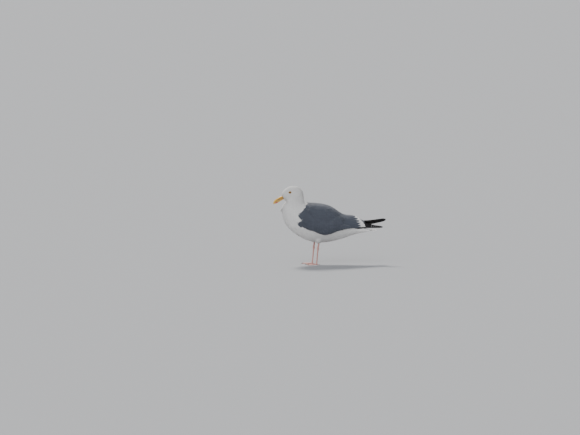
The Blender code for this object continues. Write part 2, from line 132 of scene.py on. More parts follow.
def largest_island(mesh):
    """Deletes what isn't joined to the largest shell of a mesh."""
    bm = bmesh.new()
    bm.from_mesh(mesh)
    islands, seen = [], set()
    for start in bm.verts:
        if start in seen:
            continue
        island, edge = {start}, [start]
        while edge:
            vert = edge.pop()
            for link in vert.link_edges:
                other = link.other_vert(vert)
                if other not in island:
                    island.add(other)
                    edge.append(other)
        seen |= island
        islands.append(island)
    keep = max(islands, key=len)
    bmesh.ops.delete(bm, geom=[vert for vert in bm.verts if vert not in keep], context="VERTS")
    bm.to_mesh(mesh)
    bm.free()


def points_of(mesh):
    co = np.empty(len(mesh.vertices) * 3)
    mesh.vertices.foreach_get("co", co)
    return co.reshape(-1, 3)


def normals_of(mesh):
    normals = np.empty(len(mesh.vertices) * 3)
    mesh.vertices.foreach_get("normal", normals)
    return normals.reshape(-1, 3)


def move_points(mesh, co):
    mesh.vertices.foreach_set("co", co.ravel())
    mesh.update()


def neighbour_mean(mesh):
    """Gives a function that turns one value for each point of a mesh into its neighbours' mean."""
    ends = np.empty(len(mesh.edges) * 2, dtype=np.int32)
    mesh.edges.foreach_get("vertices", ends)
    one, two = ends.reshape(-1, 2).T
    count = len(mesh.vertices)
    degree = np.bincount(one, minlength=count) + np.bincount(two, minlength=count)

    def mean(values):
        sums = np.bincount(one, values[two], count) + np.bincount(two, values[one], count)
        return sums / degree
    return mean


def relax(mesh, passes):
    """Smooths facets away without shrinking the form: each pass pulls in and then pushes back out."""
    co, mean = points_of(mesh), neighbour_mean(mesh)
    for _ in range(passes):
        for strength in (PULL_IN, PUSH_OUT):
            around = np.stack([mean(co[:, axis]) for axis in range(3)], axis=1)
            co = co + strength * (around - co)
    move_points(mesh, co)


class Surface:
    """A closed surface to find the nearest points of."""

    def __init__(self, mesh):
        self.co = points_of(mesh)
        self.tree = BVHTree.FromPolygons(
            [Vector(p) for p in self.co], [tuple(face.vertices) for face in mesh.polygons])
        self.first = np.array([face.vertices[0] for face in mesh.polygons])

    def nearest(self, points):
        found = [self.tree.find_nearest(Vector(p)) for p in points]
        return np.array([f[0] for f in found]), np.array([f[1] for f in found])

    def vertex(self, points):
        """A vertex of the mesh close to each point."""
        return self.first[[self.tree.find_nearest(Vector(p))[2] for p in points]]

    def distance(self, points):
        return np.array([self.tree.find_nearest(Vector(p))[3] for p in points])


def unit(vectors):
    return vectors / np.maximum(np.linalg.norm(vectors, axis=-1, keepdims=True), 1e-9)


def rounded(name, nodes, grain, passes, swell=SEAM):
    """One even, smooth mesh round several solids, swollen enough to close the seams between them."""
    joined = bmesh.new()
    for node in nodes:
        part = solid(node)
        for vert in part.verts:
            vert.co += vert.normal * swell
        swollen = mesh_of(part, "swollen")
        joined.from_mesh(swollen)
        bpy.data.meshes.remove(swollen)
    mesh = remeshed(joined, grain)
    mesh.name = name
    largest_island(mesh)
    relax(mesh, passes)
    return mesh


def owners_of(points, nodes):
    """For each point, the place in nodes of the solid that it is nearest to."""
    verts, faces, owner = [], [], []
    for index, node in enumerate(nodes):
        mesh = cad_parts[node].data
        faces += [tuple(len(verts) + v for v in face.vertices) for face in mesh.polygons]
        owner += [index] * len(mesh.polygons)
        verts += [vert.co for vert in mesh.vertices]
    tree = BVHTree.FromPolygons(verts, faces)
    return np.array([owner[tree.find_nearest(Vector(p))[2]] for p in points])


def evened(mesh, values, passes):
    """Spreads values over a mesh, so that they change softly."""
    mean = neighbour_mean(mesh)
    for _ in range(passes):
        values = 0.5 * values + 0.5 * mean(values)
    return values


def smooth_step(values, low, high):
    share = np.clip((values - low) / (high - low), 0, 1)
    return share * share * (3 - 2 * share)


def run_of(line):
    """How far along a line of points each of them is."""
    return np.concatenate([[0], np.cumsum(np.linalg.norm(np.diff(line, axis=0), axis=1))])


def at_run(place, run, line):
    """The point or points at a place along a line."""
    return np.stack([np.interp(place, run, line[:, axis]) for axis in range(3)], axis=-1)


class Lie:
    """The lie of the feathers, from the bill along back and belly to the tail, and round the eyes."""

    def __init__(self, rows, steps, eyes):
        self.eyes = eyes
        table = np.array(rows)
        marks = np.linspace(0, len(table) - 1, (len(table) - 1) * steps + 1)
        low = np.minimum(marks.astype(int), len(table) - 2)
        share = (marks - low)[:, None]
        before, after = table[np.maximum(low - 1, 0)], table[np.minimum(low + 2, len(table) - 1)]
        one, two = table[low], table[low + 1]
        bend = lambda p, q, r, s, t: 0.5 * (
            2 * q + (r - p) * t + (2 * p - 5 * q + 4 * r - s) * t ** 2 + (3 * q - p - 3 * r + s) * t ** 3)
        self.back, self.belly = (
            bend(before[:, side], one[:, side], two[:, side], after[:, side], share) for side in (0, 1))
        self.back_way = unit(np.gradient(self.back, axis=0))
        self.belly_way = unit(np.gradient(self.belly, axis=0))
        middle = 0.5 * (self.back + self.belly)
        run = run_of(middle)
        self.share = run / run[-1]

    def stations(self, points):
        """For each point its station and how far it lies from back (0) to belly (1)."""
        spot = points[:, None, [0, 2]]
        span = self.belly - self.back
        down = np.clip(((spot - self.back) * span).sum(2) / (span ** 2).sum(1), -0.1, 1.1)
        off = ((spot - self.back - down[:, :, None] * span) ** 2).sum(2)
        best = off.argmin(1)
        return best, down[np.arange(len(points)), best]

    def ways(self, points, normals):
        """The direction in which feathers lie at each point of a surface."""
        best, down = self.stations(points)
        flat = (1 - down)[:, None] * self.back_way[best] + down[:, None] * self.belly_way[best]
        way = unit(np.stack([flat[:, 0], np.zeros(len(points)), flat[:, 1]], axis=1))
        for eye in self.eyes:
            away = points - eye
            near = np.clip(1 - np.linalg.norm(away, axis=1, keepdims=True) / EYE_PARTING, 0, 1)
            way = way + 3 * near * unit(away)
        return unit(way - (way * normals).sum(1, keepdims=True) * normals)

    def unwrap(self, points):
        """Each point's place on the bird's own surface laid out flat: round the body, and along it."""
        best, down = self.stations(points)
        depth = np.linalg.norm(self.belly[best] - self.back[best], axis=1)
        turn = np.arctan2(points[:, 1], (0.5 - down) * depth) / (2 * math.pi)
        return np.stack([0.5 + 0.96 * turn, 0.02 + 0.96 * self.share[best]], axis=1)


SIDES = {"l": -1, "r": 1}
EYE_PARTING = .015      # how far from an eye's middle the feathers part round it
eye_middles = [np.array(sum(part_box(f"eye_{side}"), Vector()) / 2) for side in SIDES]
lie = Lie(LIE, LIE_STEPS, eye_middles)

# Plumage depth of each part, in metres.
DEPTH = {
    "head": .0010, "neck": .0016, "trunk": .0018, "rump": .0018, "thigh": .0012,
    "mantle": .0018, "wing": .0018}
BARE_NODES = ("bill_upper", "bill_lower", "eye_l", "eye_r", "leg_l", "leg_r")
THIN_SHARE = 0.28       # of the wall's thickness, where the wing shells are thin
LID_REACH = (.0050, .0066)      # the skin rises again between these ways from the eye's middle
SKIN_PASSES, DEPTH_EVENED = 14, 6

covered = WHITE_NODES + SLATE_NODES
first_slate = len(WHITE_NODES)
skin_mesh = rounded("skin", covered + ("eye_l", "eye_r"), SKIN_GRAIN, SKIN_PASSES)
bare_surface = Surface(mesh_of(solid(*BARE_NODES), "bare"))
hull = Surface(skin_mesh)

skin_points, skin_normals = points_of(skin_mesh), normals_of(skin_mesh)
skin_owner = owners_of(skin_points, covered)
node_depth = np.array([DEPTH[node.split("_")[0]] for node in covered])
bare_distance = bare_surface.distance(skin_points)
skin_depth = np.minimum(node_depth[skin_owner], BARE_RIM + DEPTH_RISE * bare_distance)
for index in np.nonzero(skin_owner >= first_slate)[0]:
    point, inward = Vector(skin_points[index]), -Vector(skin_normals[index])
    wall = hull.tree.ray_cast(point + inward * 1e-4, inward, .02)[3]
    if wall:
        skin_depth[index] = min(skin_depth[index], THIN_SHARE * wall)
skin_depth = evened(skin_mesh, skin_depth, DEPTH_EVENED)
for eye in eye_middles:
    other_side = skin_points[:, 1] * eye[1] < 0
    beside = np.hypot(*(skin_points - eye)[:, [0, 2]].T) + 4 * LID_REACH[1] * other_side
    skin_depth = np.maximum(skin_depth, UNDER_LIDS * (1 - smooth_step(beside, *LID_REACH)))
move_points(skin_mesh, skin_points - skin_normals * (skin_depth + SEAM)[:, None])
skin_points, skin_normals = points_of(skin_mesh), normals_of(skin_mesh)
skin = Surface(skin_mesh)

# Where slate begins behind the white neck and breast, from the back down to the wing's lower edge.
# A white notch cuts in between the shoulder and the bend of the wing.
FRONT_Z = (.150, .1656, .1813, .1960, .2040, .2090, .2180, .2270, .2430, .2746, .2900)
FRONT_X = (-.095, -.1270, -.1490, -.1500, -.1340, -.1320, -.1480, -.1500, -.1320, -.1040, -.0960)
# Above this line, given by place and height, the border runs over the feathers of breast and neck too.
SHOULDER_X, SHOULDER_Z = (-.126, -.112), (.172, .215)
WHITE = (0.80, 0.79, 0.775)
SLATE = (0.054, 0.063, 0.086)


def is_slate(points):
    """Whether the plumage at each point of the bird is slate and not white."""
    behind = points[:, 0] > np.interp(points[:, 2], FRONT_Z, FRONT_X)
    above = points[:, 2] > np.interp(points[:, 0], SHOULDER_X, SHOULDER_Z)
    return behind & ((skin_owner[skin.vertex(points)] >= first_slate) | above)


def paint(mesh, name, values):
    """Stores one colour for each point of a mesh."""
    layer = mesh.color_attributes.new(name, "FLOAT_COLOR", "POINT")
    rgba = np.ones((len(values), 4), dtype=np.float32)
    rgba[:, :3] = values
    layer.data.foreach_set("color", rgba.ravel())


def store(mesh, name, values):
    """Stores one number for each point of a mesh."""
    layer = mesh.attributes.new(name, "FLOAT", "POINT")
    layer.data.foreach_set("value", np.asarray(values, dtype=np.float32))


def store_uv(mesh, name, corner_uv):
    mesh.uv_layers.new(name=name).data.foreach_set("uv", corner_uv.astype(np.float32).ravel())


class Tree:
    """Short calls to add and join the nodes of one tree."""

    def __init__(self, tree):
        self.tree = tree

    def node(self, kind, **settings):
        made = self.tree.nodes.new("ShaderNode" + kind)
        for name, value in settings.items():
            setattr(made, name, value)
        return made

    def put(self, socket, value):
        if isinstance(value, bpy.types.NodeSocket):
            self.tree.links.new(value, socket)
        else:
            socket.default_value = value

    def math(self, operation, *values):
        made = self.node("Math", operation=operation)
        for socket, value in zip(made.inputs, values):
            self.put(socket, value)
        return made.outputs[0]

    def times(self, one, two):
        return self.math("MULTIPLY", one, two)

    def plus(self, one, two):
        return self.math("ADD", one, two)

    def rest(self, value):
        """What is left of one."""
        return self.math("SUBTRACT", 1.0, value)

    def step(self, value, low, high):
        made = self.node("MapRange", interpolation_type="SMOOTHSTEP")
        for name, given in (("Value", value), ("From Min", low), ("From Max", high)):
            self.put(made.inputs[name], given)
        return made.outputs[0]

    def mix(self, share, one, two, blend="MIX"):
        made = self.node("Mix", data_type="RGBA", blend_type=blend)
        self.put(made.inputs[0], share)
        self.put(made.inputs[6], one)
        self.put(made.inputs[7], two)
        return made.outputs[2]

    def noise(self, place, scale, detail=3):
        made = self.node("TexNoise")
        self.put(made.inputs["Vector"], place)
        made.inputs["Scale"].default_value = scale
        made.inputs["Detail"].default_value = detail
        return made.outputs[0]

    def attribute(self, name, output="Fac"):
        return self.node("Attribute", attribute_name=name).outputs[output]

    def place(self):
        return self.node("TexCoord").outputs["Object"]

    def bump(self, height, strength, distance):
        made = self.node("Bump")
        self.put(made.inputs["Height"], height)
        made.inputs["Strength"].default_value = strength
        made.inputs["Distance"].default_value = distance
        return made.outputs[0]


def finish(name, **constants):
    """A new material with its constant values set on the shader, and its tree."""
    look = bpy.data.materials.new(name)
    look.use_nodes = True
    shader = look.node_tree.nodes["Principled BSDF"]
    for key, value in constants.items():
        shader.inputs[key.replace("_", " ").title()].default_value = value
    return look, Tree(look.node_tree), shader


def feather_web():
    """A node group for the web of a feather: barbs slanting from the shaft, a worn pale rim."""
    group = bpy.data.node_groups.new("feather_web", "ShaderNodeTree")
    for name, kind in (("Colour", "Color"), ("Vane", "Vector"), ("Rim", "Float"), ("Paling", "Float")):
        group.interface.new_socket(name, in_out="INPUT", socket_type="NodeSocket" + kind)
    for name, kind in (("Colour", "Color"), ("Height", "Float")):
        group.interface.new_socket(name, in_out="OUTPUT", socket_type="NodeSocket" + kind)
    tree = Tree(group)
    given, result = group.nodes.new("NodeGroupInput"), group.nodes.new("NodeGroupOutput")
    parts = tree.node("SeparateXYZ")
    tree.put(parts.inputs[0], given.outputs["Vane"])
    aside = tree.math("ABSOLUTE", parts.outputs[1])
    slant = tree.plus(tree.times(parts.outputs[0], .7), aside)
    barbs = tree.math("SINE", tree.times(slant, BARBS_PER_UNIT))
    lanes = tree.node("CombineXYZ")
    tree.put(lanes.inputs[0], tree.times(slant, CLUMPS_PER_UNIT))
    tree.put(lanes.inputs[1], tree.times(parts.outputs[1], 12.0))
    clumps = tree.noise(lanes.outputs[0], 1.0, 2)
    shaft = tree.rest(tree.step(aside, .002, .008))
    shade = tree.plus(.90, tree.times(clumps, .20))
    shade = tree.math("SUBTRACT", shade, tree.times(shaft, .10))
    grey = tree.node("CombineXYZ")
    for socket in grey.inputs:
        tree.put(socket, shade)
    toned = tree.mix(1.0, given.outputs["Colour"], grey.outputs[0], "MULTIPLY")
    worn = tree.times(tree.step(given.outputs["Rim"], .78, 1.0), given.outputs["Paling"])
    tree.put(result.inputs["Colour"], tree.mix(worn, toned, WORN))
    height = tree.plus(tree.times(barbs, .25), tree.plus(clumps, shaft))
    tree.put(result.inputs["Height"], height)
    return group


BARBS_PER_UNIT, CLUMPS_PER_UNIT = 900.0, 90.0     # the vane map is in tenths of a metre
# Painted shade: the skin between the feathers is painted a little darker than they are, as if in their
# shade.
SKIN_SHADE = .92        # the skin is a little darker than the feathers over it
WORN = (.62, .63, .65, 1)
web_group = feather_web()
slate = is_slate(skin_points)
paint(skin_mesh, "plumage", np.where(slate[:, None], SLATE, WHITE) * SKIN_SHADE)
store(skin_mesh, "rim", np.zeros(len(skin_points)))
store_uv(skin_mesh, "vane", np.zeros((len(skin_mesh.loops), 2)))


def plumage(name, paling, strength, distance, **constants):
    """The finish of one kind of feathers, with how far their rims pale."""
    look, tree, shader = finish(name, **constants)
    web = tree.node("Group", node_tree=web_group)
    tree.put(web.inputs["Colour"], tree.attribute("plumage", "Color"))
    tree.put(web.inputs["Vane"], tree.node("UVMap", uv_map="vane").outputs[0])
    tree.put(web.inputs["Rim"], tree.attribute("rim"))
    web.inputs["Paling"].default_value = paling
    tree.put(shader.inputs["Base Color"], web.outputs["Colour"])
    tree.put(shader.inputs["Normal"], tree.bump(web.outputs["Height"], strength, distance))
    return look


white_coat = "white_plumage", plumage("white_feathers", .0, .35, .00012, roughness=.72, sheen_weight=.12)
show("skin", skin_mesh, "flesh", white_coat[1], *covered)


# ---------------------------------------------------------------- body feathers
# Short soft feathers cover head, neck, breast, belly and rump. Each is a thin leaf that grows from
# the skin, lies back along the body over the ones behind it, and ends at the bird's outline.

PATCH = 0.003           # size of one feather's patch on the unwrapped bird


def outward(bm):
    """Turns the faces of a closed mesh outwards."""
    bmesh.ops.recalc_face_normals(bm, faces=bm.faces)
    if bm.calc_volume(signed=True) < 0:
        bmesh.ops.reverse_faces(bm, faces=bm.faces)


def leaf(outline, thickness):
    """A thin closed leaf: x runs from root to tip, y across it and z is its height."""
    bm = bmesh.new()
    bmesh.ops.create_uvsphere(bm, u_segments=4, v_segments=len(outline) + 1, radius=1)
    places = sorted({round(vert.co.z, 5) for vert in bm.verts})
    stations = [(0, 0)] + list(outline) + [(1, 0)]
    for vert in bm.verts:
        along, half = stations[places.index(round(vert.co.z, 5))]
        ring = max(math.hypot(vert.co.x, vert.co.y), 1e-9)
        vert.co = (along, half * vert.co.x / ring, thickness * max(vert.co.y / ring, -0.15))
    outward(bm)
    return bm


def vane(rows, columns, half, ridge=0.0):
    """A thin closed vane of a larger feather. Its outline is half(along), its rows crowd at the tip."""
    bm = bmesh.new()
    bmesh.ops.create_grid(bm, x_segments=rows, y_segments=columns, size=1)
    for vert in bm.verts:
        along, across = 1 - (.5 - .5 * vert.co.x) ** 1.6, vert.co.y
        vert.co = (along, across * half(along), ridge * (1 - min(1, 4 * abs(across))))
    bmesh.ops.solidify(bm, geom=bm.faces[:], thickness=1)
    lowest = min(vert.co.z for vert in bm.verts)
    for vert in bm.verts:
        vert.co.z -= lowest
    bmesh.ops.remove_doubles(bm, verts=bm.verts, dist=1e-4)
    outward(bm)
    return bm


def rounded_tip(start, power=2.0):
    """An outline that is full up to a share of the length and then closes in a round tip."""
    def half(along):
        past = max(0, (along - start) / (1 - start))
        return min(1, .45 + 1.6 * along) * max(0, 1 - past ** power) ** .5
    return half


class Template:
    """The points and faces of one feather, to be laid many times."""

    def __init__(self, bm, upper_from):
        bm.verts.index_update()
        self.co = np.array([vert.co for vert in bm.verts])
        self.upper = self.co[:, 2] > upper_from
        self.faces = [[vert.index for vert in face.verts] for face in bm.faces]
        bm.free()


def spread(points, radii, order):
    """Keeps points so that no two are nearer than their radius."""
    tree = KDTree(len(points))
    for index, point in enumerate(points):
        tree.insert(point, index)
    tree.balance()
    alive = np.ones(len(points), dtype=bool)
    kept = []
    for index in order:
        if alive[index]:
            kept.append(index)
            for _, near, _ in tree.find_range(points[index], radii[index]):
                alive[near] = False
    return np.array(kept)


def scattered(mesh, chosen, radius_at, seed, crowding=9):
    """Points over chosen faces of a mesh, evenly random."""
    rng = np.random.default_rng(seed)
    mesh.calc_loop_triangles()
    tris = np.empty(len(mesh.loop_triangles) * 3, dtype=np.int32)
    mesh.loop_triangles.foreach_get("vertices", tris)
    tris = tris.reshape(-1, 3)
    tris = tris[chosen[tris].all(axis=1)]
    co = points_of(mesh)
    corners = co[tris]
    sides = corners[:, 1] - corners[:, 0], corners[:, 2] - corners[:, 0]
    area = 0.5 * np.linalg.norm(np.cross(*sides), axis=1)
    middle = corners.mean(axis=1)
    wanted = area * crowding / radius_at(middle) ** 2
    picks = np.repeat(np.arange(len(tris)), rng.poisson(wanted))
    u, v = rng.random((2, len(picks), 1))
    flip = (u + v > 1)
    u, v = np.where(flip, 1 - u, u), np.where(flip, 1 - v, v)
    one, two, three = (corners[picks, k] for k in range(3))
    points = one + u * (two - one) + v * (three - one)
    kept = spread(points, radius_at(points), rng.permutation(len(points)))
    return points[kept]


def walk(surface, points, reach, steps, turn):
    """Paths over a surface that follow the lie of the feathers, each turned aside by its own angle."""
    spots, normals = surface.nearest(points)
    path, stand = [spots], [normals]
    for _ in range(steps):
        way = lie.ways(spots, normals)
        way = np.cos(turn)[:, None] * way + np.sin(turn)[:, None] * np.cross(normals, way)
        spots, normals = surface.nearest(spots + way * (reach / steps)[:, None])
        path.append(spots)
        stand.append(normals)
    return np.stack(path, axis=1), unit(np.stack(stand, axis=1))


def along_path(knots_values, low, share):
    return knots_values[:, low] * (1 - share) + knots_values[:, low + 1] * share


def lay(template, path, stand, half, heights, thick, roll=0.0, surface=None):
    """Bends a feather along each path. half is its half width, one for each path or for each knot of it,
    and heights are those of root and tip over the path. Returns all points and the way up at each."""
    knots = path.shape[1]
    along, across, rise = template.co.T
    place = np.clip(along, 0, 1) * (knots - 1)
    low = np.minimum(place.astype(int), knots - 2)
    share = (place - low)[None, :]
    spine = along_path(path, low, share[..., None])
    up = unit(along_path(stand, low, share[..., None]))
    way = unit(along_path(unit(np.gradient(path, axis=1)), low, share[..., None]))
    aside = unit(np.cross(up, way))
    half = half[:, None] if half.ndim == 1 else along_path(half, low, share)
    spots = spine + aside * (across[None, :] * half)[:, :, None]
    if surface is not None:
        flat, up_flat = surface.nearest(spots.reshape(-1, 3))
        spots, up = flat.reshape(spots.shape), unit(0.5 * up + 0.5 * up_flat.reshape(spots.shape))
    root, tip = (np.asarray(height).reshape(-1, 1) for height in heights)
    height = root + (tip - root) * along[None, :] ** 0.8
    height = height + roll * across[None, :] * half + np.asarray(thick).reshape(-1, 1) * rise[None, :]
    return spots + up * height[:, :, None], up


def feathers(name, template, laid, colours, roots, coat, half, length, softness=.6, replaced=()):
    """One mesh of many laid feathers, with their colours and maps. A coat is a slot and its finish.
    Softness turns the shading of each feather's upper side towards the lie of the whole coat."""
    blocks, ups = laid
    count, size = blocks.shape[:2]
    mesh = bpy.data.meshes.new(name)
    totals = np.tile([len(face) for face in template.faces], count)
    loops = (np.concatenate(template.faces)[None, :] + size * np.arange(count)[:, None]).ravel()
    mesh.vertices.add(count * size)
    mesh.vertices.foreach_set("co", blocks.astype(np.float32).ravel())
    mesh.loops.add(len(loops))
    mesh.loops.foreach_set("vertex_index", loops.astype(np.int32))
    mesh.polygons.add(len(totals))
    mesh.polygons.foreach_set("loop_start", np.concatenate([[0], np.cumsum(totals)[:-1]]).astype(np.int32))
    mesh.polygons.foreach_set("use_smooth", np.ones(len(totals), dtype=bool))
    mesh.update(calc_edges=True)
    along, across = template.co[:, 0], template.co[:, 1]
    widest = np.abs(across).max()
    patch = PATCH * np.stack([0.5 * across / widest, along - 0.5], axis=1)
    store_uv(mesh, "OFBake", (lie.unwrap(roots)[:, None, :] + patch[None]).reshape(-1, 2)[loops])
    web = np.stack([(1 - along)[None, :] * length[:, None], across[None, :] * half[:, None]], axis=2) * 10
    store_uv(mesh, "vane", web.reshape(-1, 2)[loops])
    paint(mesh, "plumage", np.clip(colours, 0, 1).reshape(-1, 3))
    rim = np.maximum(np.abs(across) / widest, smooth_step(along, 0.80, 1.0))
    store(mesh, "rim", np.tile(rim, count))
    own, up = normals_of(mesh), ups.reshape(-1, 3)
    upright = np.where((own * up).sum(1, keepdims=True) > .25, unit(own + softness * (up - own)), up)
    upper = np.tile(template.upper, count)[:, None]
    mesh.normals_split_custom_set_from_vertices(np.where(upper, upright, own))
    show(name, mesh, *coat, *replaced)


# Feather lengths of each part of the body.
REACH = {
    "head": .0062, "neck": .0120, "trunk": .0160, "rump": .0190, "thigh": .0095,
    "mantle": .0120, "wing": .0110}
FACE_REACH, FACE_RISE = .0028, 0.12     # feather length at the bill, and its growth away from there
GAP_SHARE = 0.215                       # spacing of the roots, of a feather's length
SLIMNESS = 0.135                        # half width, of a feather's length
LEAF_THICK = .00022                     # the thickest that a soft leaf gets
BEND_LIMIT = .3                         # the cosine of the furthest that a feather bends, root to tip
ROUGHNESS = .08                         # spread of how high the tips stand
REACH_EVENED = 20                       # passes that even out the lengths from part to part
SMALL_ZONE = .036                       # how far the small coverts reach behind the border of the slate
EYE_CLEAR = (.0061, .0049)              # feathers keep out of an oval this long and high round each eye
node_reach = np.array([REACH[node.split("_")[0]] for node in covered])
face_reach = FACE_REACH + FACE_RISE * bare_distance
skin_reach = evened(skin_mesh, np.minimum(node_reach[skin_owner], face_reach), REACH_EVENED)
body_leaf = Template(leaf([(.14, .66), (.50, 1.0), (.82, .62)], 1.0), -.01)
head_leaf = Template(leaf([(.20, .74), (.66, .94)], 1.0), -.01)
small_vane = Template(vane(5, 2, rounded_tip(.45)), .5)


def soft_feathers(name, template, chosen, seed, coat, slimness=SLIMNESS, gap_share=GAP_SHARE):
    """Short feathers rooted at random, but evenly, on the chosen part of the skin."""
    rng = np.random.default_rng(seed)
    roots = scattered(skin_mesh, chosen, lambda points: gap_share * skin_reach[skin.vertex(points)], seed)
    count = len(roots)
    reach = skin_reach[skin.vertex(roots)] * rng.normal(1, .10, count)
    path, stand = walk(skin, roots, reach, 3, rng.normal(0, math.radians(6), count))
    clear = (stand[:, 0] * stand[:, -1]).sum(axis=1) > BEND_LIMIT
    for eye in eye_middles:
        off = path - eye
        oval = np.hypot(off[..., 0] / EYE_CLEAR[0], off[..., 2] / EYE_CLEAR[1])
        clear &= ~((oval < 1) & (off[..., 1] * eye[1] > -.002)).any(axis=1)
    path, stand, reach, roots = path[clear], stand[clear], reach[clear], roots[clear]
    count = len(roots)
    half = reach * slimness * rng.normal(1, .12, count)
    depth = skin_depth[skin.vertex(path[:, -1])]
    heights = -.2 * depth, depth * rng.normal(1, ROUGHNESS, count)
    thick = np.minimum(LEAF_THICK, .04 * reach)
    laid = lay(template, path, stand, half, heights, thick, rng.normal(0, .03, (count, 1)))
    dark = is_slate(path[:, 2])[:, None, None]
    base = np.where(dark, SLATE, WHITE) * rng.normal(1, .03, (count, 1, 1))
    # Painted shade: each feather is a little darker towards its root, where the feathers ahead cover it.
    colours = base * (1 - np.where(dark, .04, .07) * (1 - template.co[None, :, 0:1]))
    feathers(name, template, laid, colours, roots, coat, half, reach)


def owned(*parts):
    """The skin's points that belong to parts of the body and aren't slate."""
    wanted = [index for index, node in enumerate(covered) if node.split("_")[0] in parts]
    return np.isin(skin_owner, wanted) & ~slate


BREAST_END = -.045      # along the bird, where the belly's feathers follow those of the breast
underparts = owned("trunk", "thigh", "mantle", "wing")
front_half = skin_points[:, 0] < BREAST_END
soft_feathers("feathers_head", head_leaf, owned("head"), 11, white_coat, gap_share=.24)
soft_feathers("feathers_neck", body_leaf, owned("neck"), 12, white_coat)
soft_feathers("feathers_breast", body_leaf, underparts & front_half, 13, white_coat)
soft_feathers("feathers_belly", body_leaf, underparts & ~front_half, 14, white_coat)
soft_feathers("feathers_rump", body_leaf, owned("rump"), 15, white_coat)


# A wisp of longer feathers stands out from the throat.
WISP_COUNT, WISP_REACH, WISP_SLIMNESS = 34, .021, .08
WISP_X, WISP_Y, WISP_Z = -.225, .006, (.250, .268)      # before the throat, its half width, its heights
rng = np.random.default_rng(16)
aside = rng.uniform(-WISP_Y, WISP_Y, WISP_COUNT)
before = np.stack([np.full(WISP_COUNT, WISP_X), aside, rng.uniform(*WISP_Z, WISP_COUNT)], axis=1)
wisp_roots, wisp_stand = skin.nearest(before)
wisp_way = unit(np.stack([rng.normal(-.62, .14, WISP_COUNT), 12 * aside, np.full(WISP_COUNT, -1)], axis=1))
marks = np.linspace(0, 1, 4)[None, :, None]
reach = WISP_REACH * rng.uniform(.65, 1, WISP_COUNT)
path = wisp_roots[:, None] - .001 * wisp_stand[:, None] + reach[:, None, None] * marks * (
    wisp_way[:, None] + .25 * (1 - marks) * wisp_stand[:, None])
half = reach * WISP_SLIMNESS
laid = lay(body_leaf, path, np.tile(wisp_stand[:, None], (1, 4, 1)), half, (0, 0), .0003)
colours = np.array(WHITE) * rng.normal(1, .03, (WISP_COUNT, 1, 1)) * np.ones((1, len(body_leaf.co), 1))
feathers("feathers_throat_wisp", body_leaf, laid, colours, wisp_roots, white_coat, half, reach)


# ---------------------------------------------------------------- slate coverts
# Small soft coverts close over the bend of the wing. Behind them the mantle, scapulars and median
# coverts are broad rounded feathers in rows like tiles, each row over the next one behind it.

ROW_START, ROW_END = -.118, .086
ROW_PITCH = ((-.118, .0078), (-.080, .0094), (-.030, .0112), (.040, .0126), (.086, .0130))
TILE_REACH, TILE_HALF, TILE_SPREAD = 2.9, 0.80, 1.10    # of the pitch of the rows
EDGE_BAND = .026        # the greater coverts fill this much of the wing above its lower edge
ARC_SLICE, ARC_DEGREES = .004, range(-80, 261)
LAST_TIP = ((0, .022), (.35, .062), (.7, .082), (1, .094))    # where the tiles end, from the lower edge up
covert_vane = Template(vane(8, 4, rounded_tip(.45)), .5)
slate_co = skin_points[slate]
slate_coat = "grey_plumage", plumage("slate_feathers", .13, .55, .00016, roughness=.66, sheen_weight=.10)


def on_table(table, values):
    return np.interp(values, [row[0] for row in table], [row[1] for row in table])


def slate_arc(place):
    """The line over wings and back at one place along the bird, from the right wing's edge on."""
    near = slate_co[np.abs(slate_co[:, 0] - place) < ARC_SLICE]
    height = 0.5 * (near[:, 2].min() + near[:, 2].max())
    arc = []
    for degrees in ARC_DEGREES:
        angle = math.radians(degrees)
        away = Vector((0, math.cos(angle), math.sin(angle)))
        hit = skin.tree.ray_cast(Vector((place, 0, height)) + away * .2, -away, .2)
        if hit[0] is not None and slate[skin.first[hit[2]]]:
            arc.append(hit[0])
    arc = np.array(arc)
    return arc, run_of(arc)


def slate_rows():
    """Roots of the tiled feathers, row by row along the back and round it."""
    roots, pitches = [], []
    place, row = ROW_START, 0
    while place < ROW_END:
        pitch = float(on_table(ROW_PITCH, place))
        arc, run = slate_arc(place)
        middle = run[np.abs(arc[:, 1]).argmin()]
        step, shift = TILE_SPREAD * pitch, .5 * (row % 2)
        first, last = math.ceil(-middle / step - shift), math.floor((run[-1] - middle) / step - shift)
        for k in range(first, last + 1):
            at = middle + (k + shift) * step
            up = min(at, run[-1] - at)
            root = at_run(at, run, arc)
            behind = place > np.interp(root[2], FRONT_Z, FRONT_X) + .7 * SMALL_ZONE
            tip_end = on_table(LAST_TIP, up / (0.5 * run[-1]))
            if behind and up > EDGE_BAND * .8 and place + TILE_REACH * pitch < tip_end:
                roots.append(root)
                pitches.append(pitch)
        place += pitch
        row += 1
    return np.array(roots), np.array(pitches)


border = np.interp(skin_points[:, 2], FRONT_Z, FRONT_X)
small_zone = slate & (skin_points[:, 0] < border + SMALL_ZONE)
soft_feathers("coverts_small", small_vane, small_zone, 20, slate_coat, slimness=.27, gap_share=.33)

slate_roots, slate_pitch = slate_rows()
rng = np.random.default_rng(21)
count = len(slate_roots)
slate_roots = slate_roots + rng.normal(0, .0005, slate_roots.shape)
reach = slate_pitch * TILE_REACH * rng.normal(1, .04, count)
half = slate_pitch * TILE_HALF * rng.normal(1, .04, count)
path, stand = walk(skin, slate_roots, reach, 4, rng.normal(0, math.radians(3), count))
depth = skin_depth[skin.vertex(path[:, -1])]
laid = lay(covert_vane, path, stand, half, (-.3 * depth, depth * rng.normal(.95, .07, count)),
           .00022, rng.normal(0, .02, (count, 1)), skin)
colours = np.array(SLATE) * rng.normal(1, .045, (count, 1, 1)) * np.ones((1, len(covert_vane.co), 1))
feathers("coverts_tiled", covert_vane, laid, colours, slate_roots, slate_coat, half, reach, .35)


# ---------------------------------------------------------------- wing edge and tertials
# Along the lower edge of each closed wing lie the long greater coverts and the tips of the
# secondaries. Behind them broad tertials close like a roof over the rump, and end in white crescents.

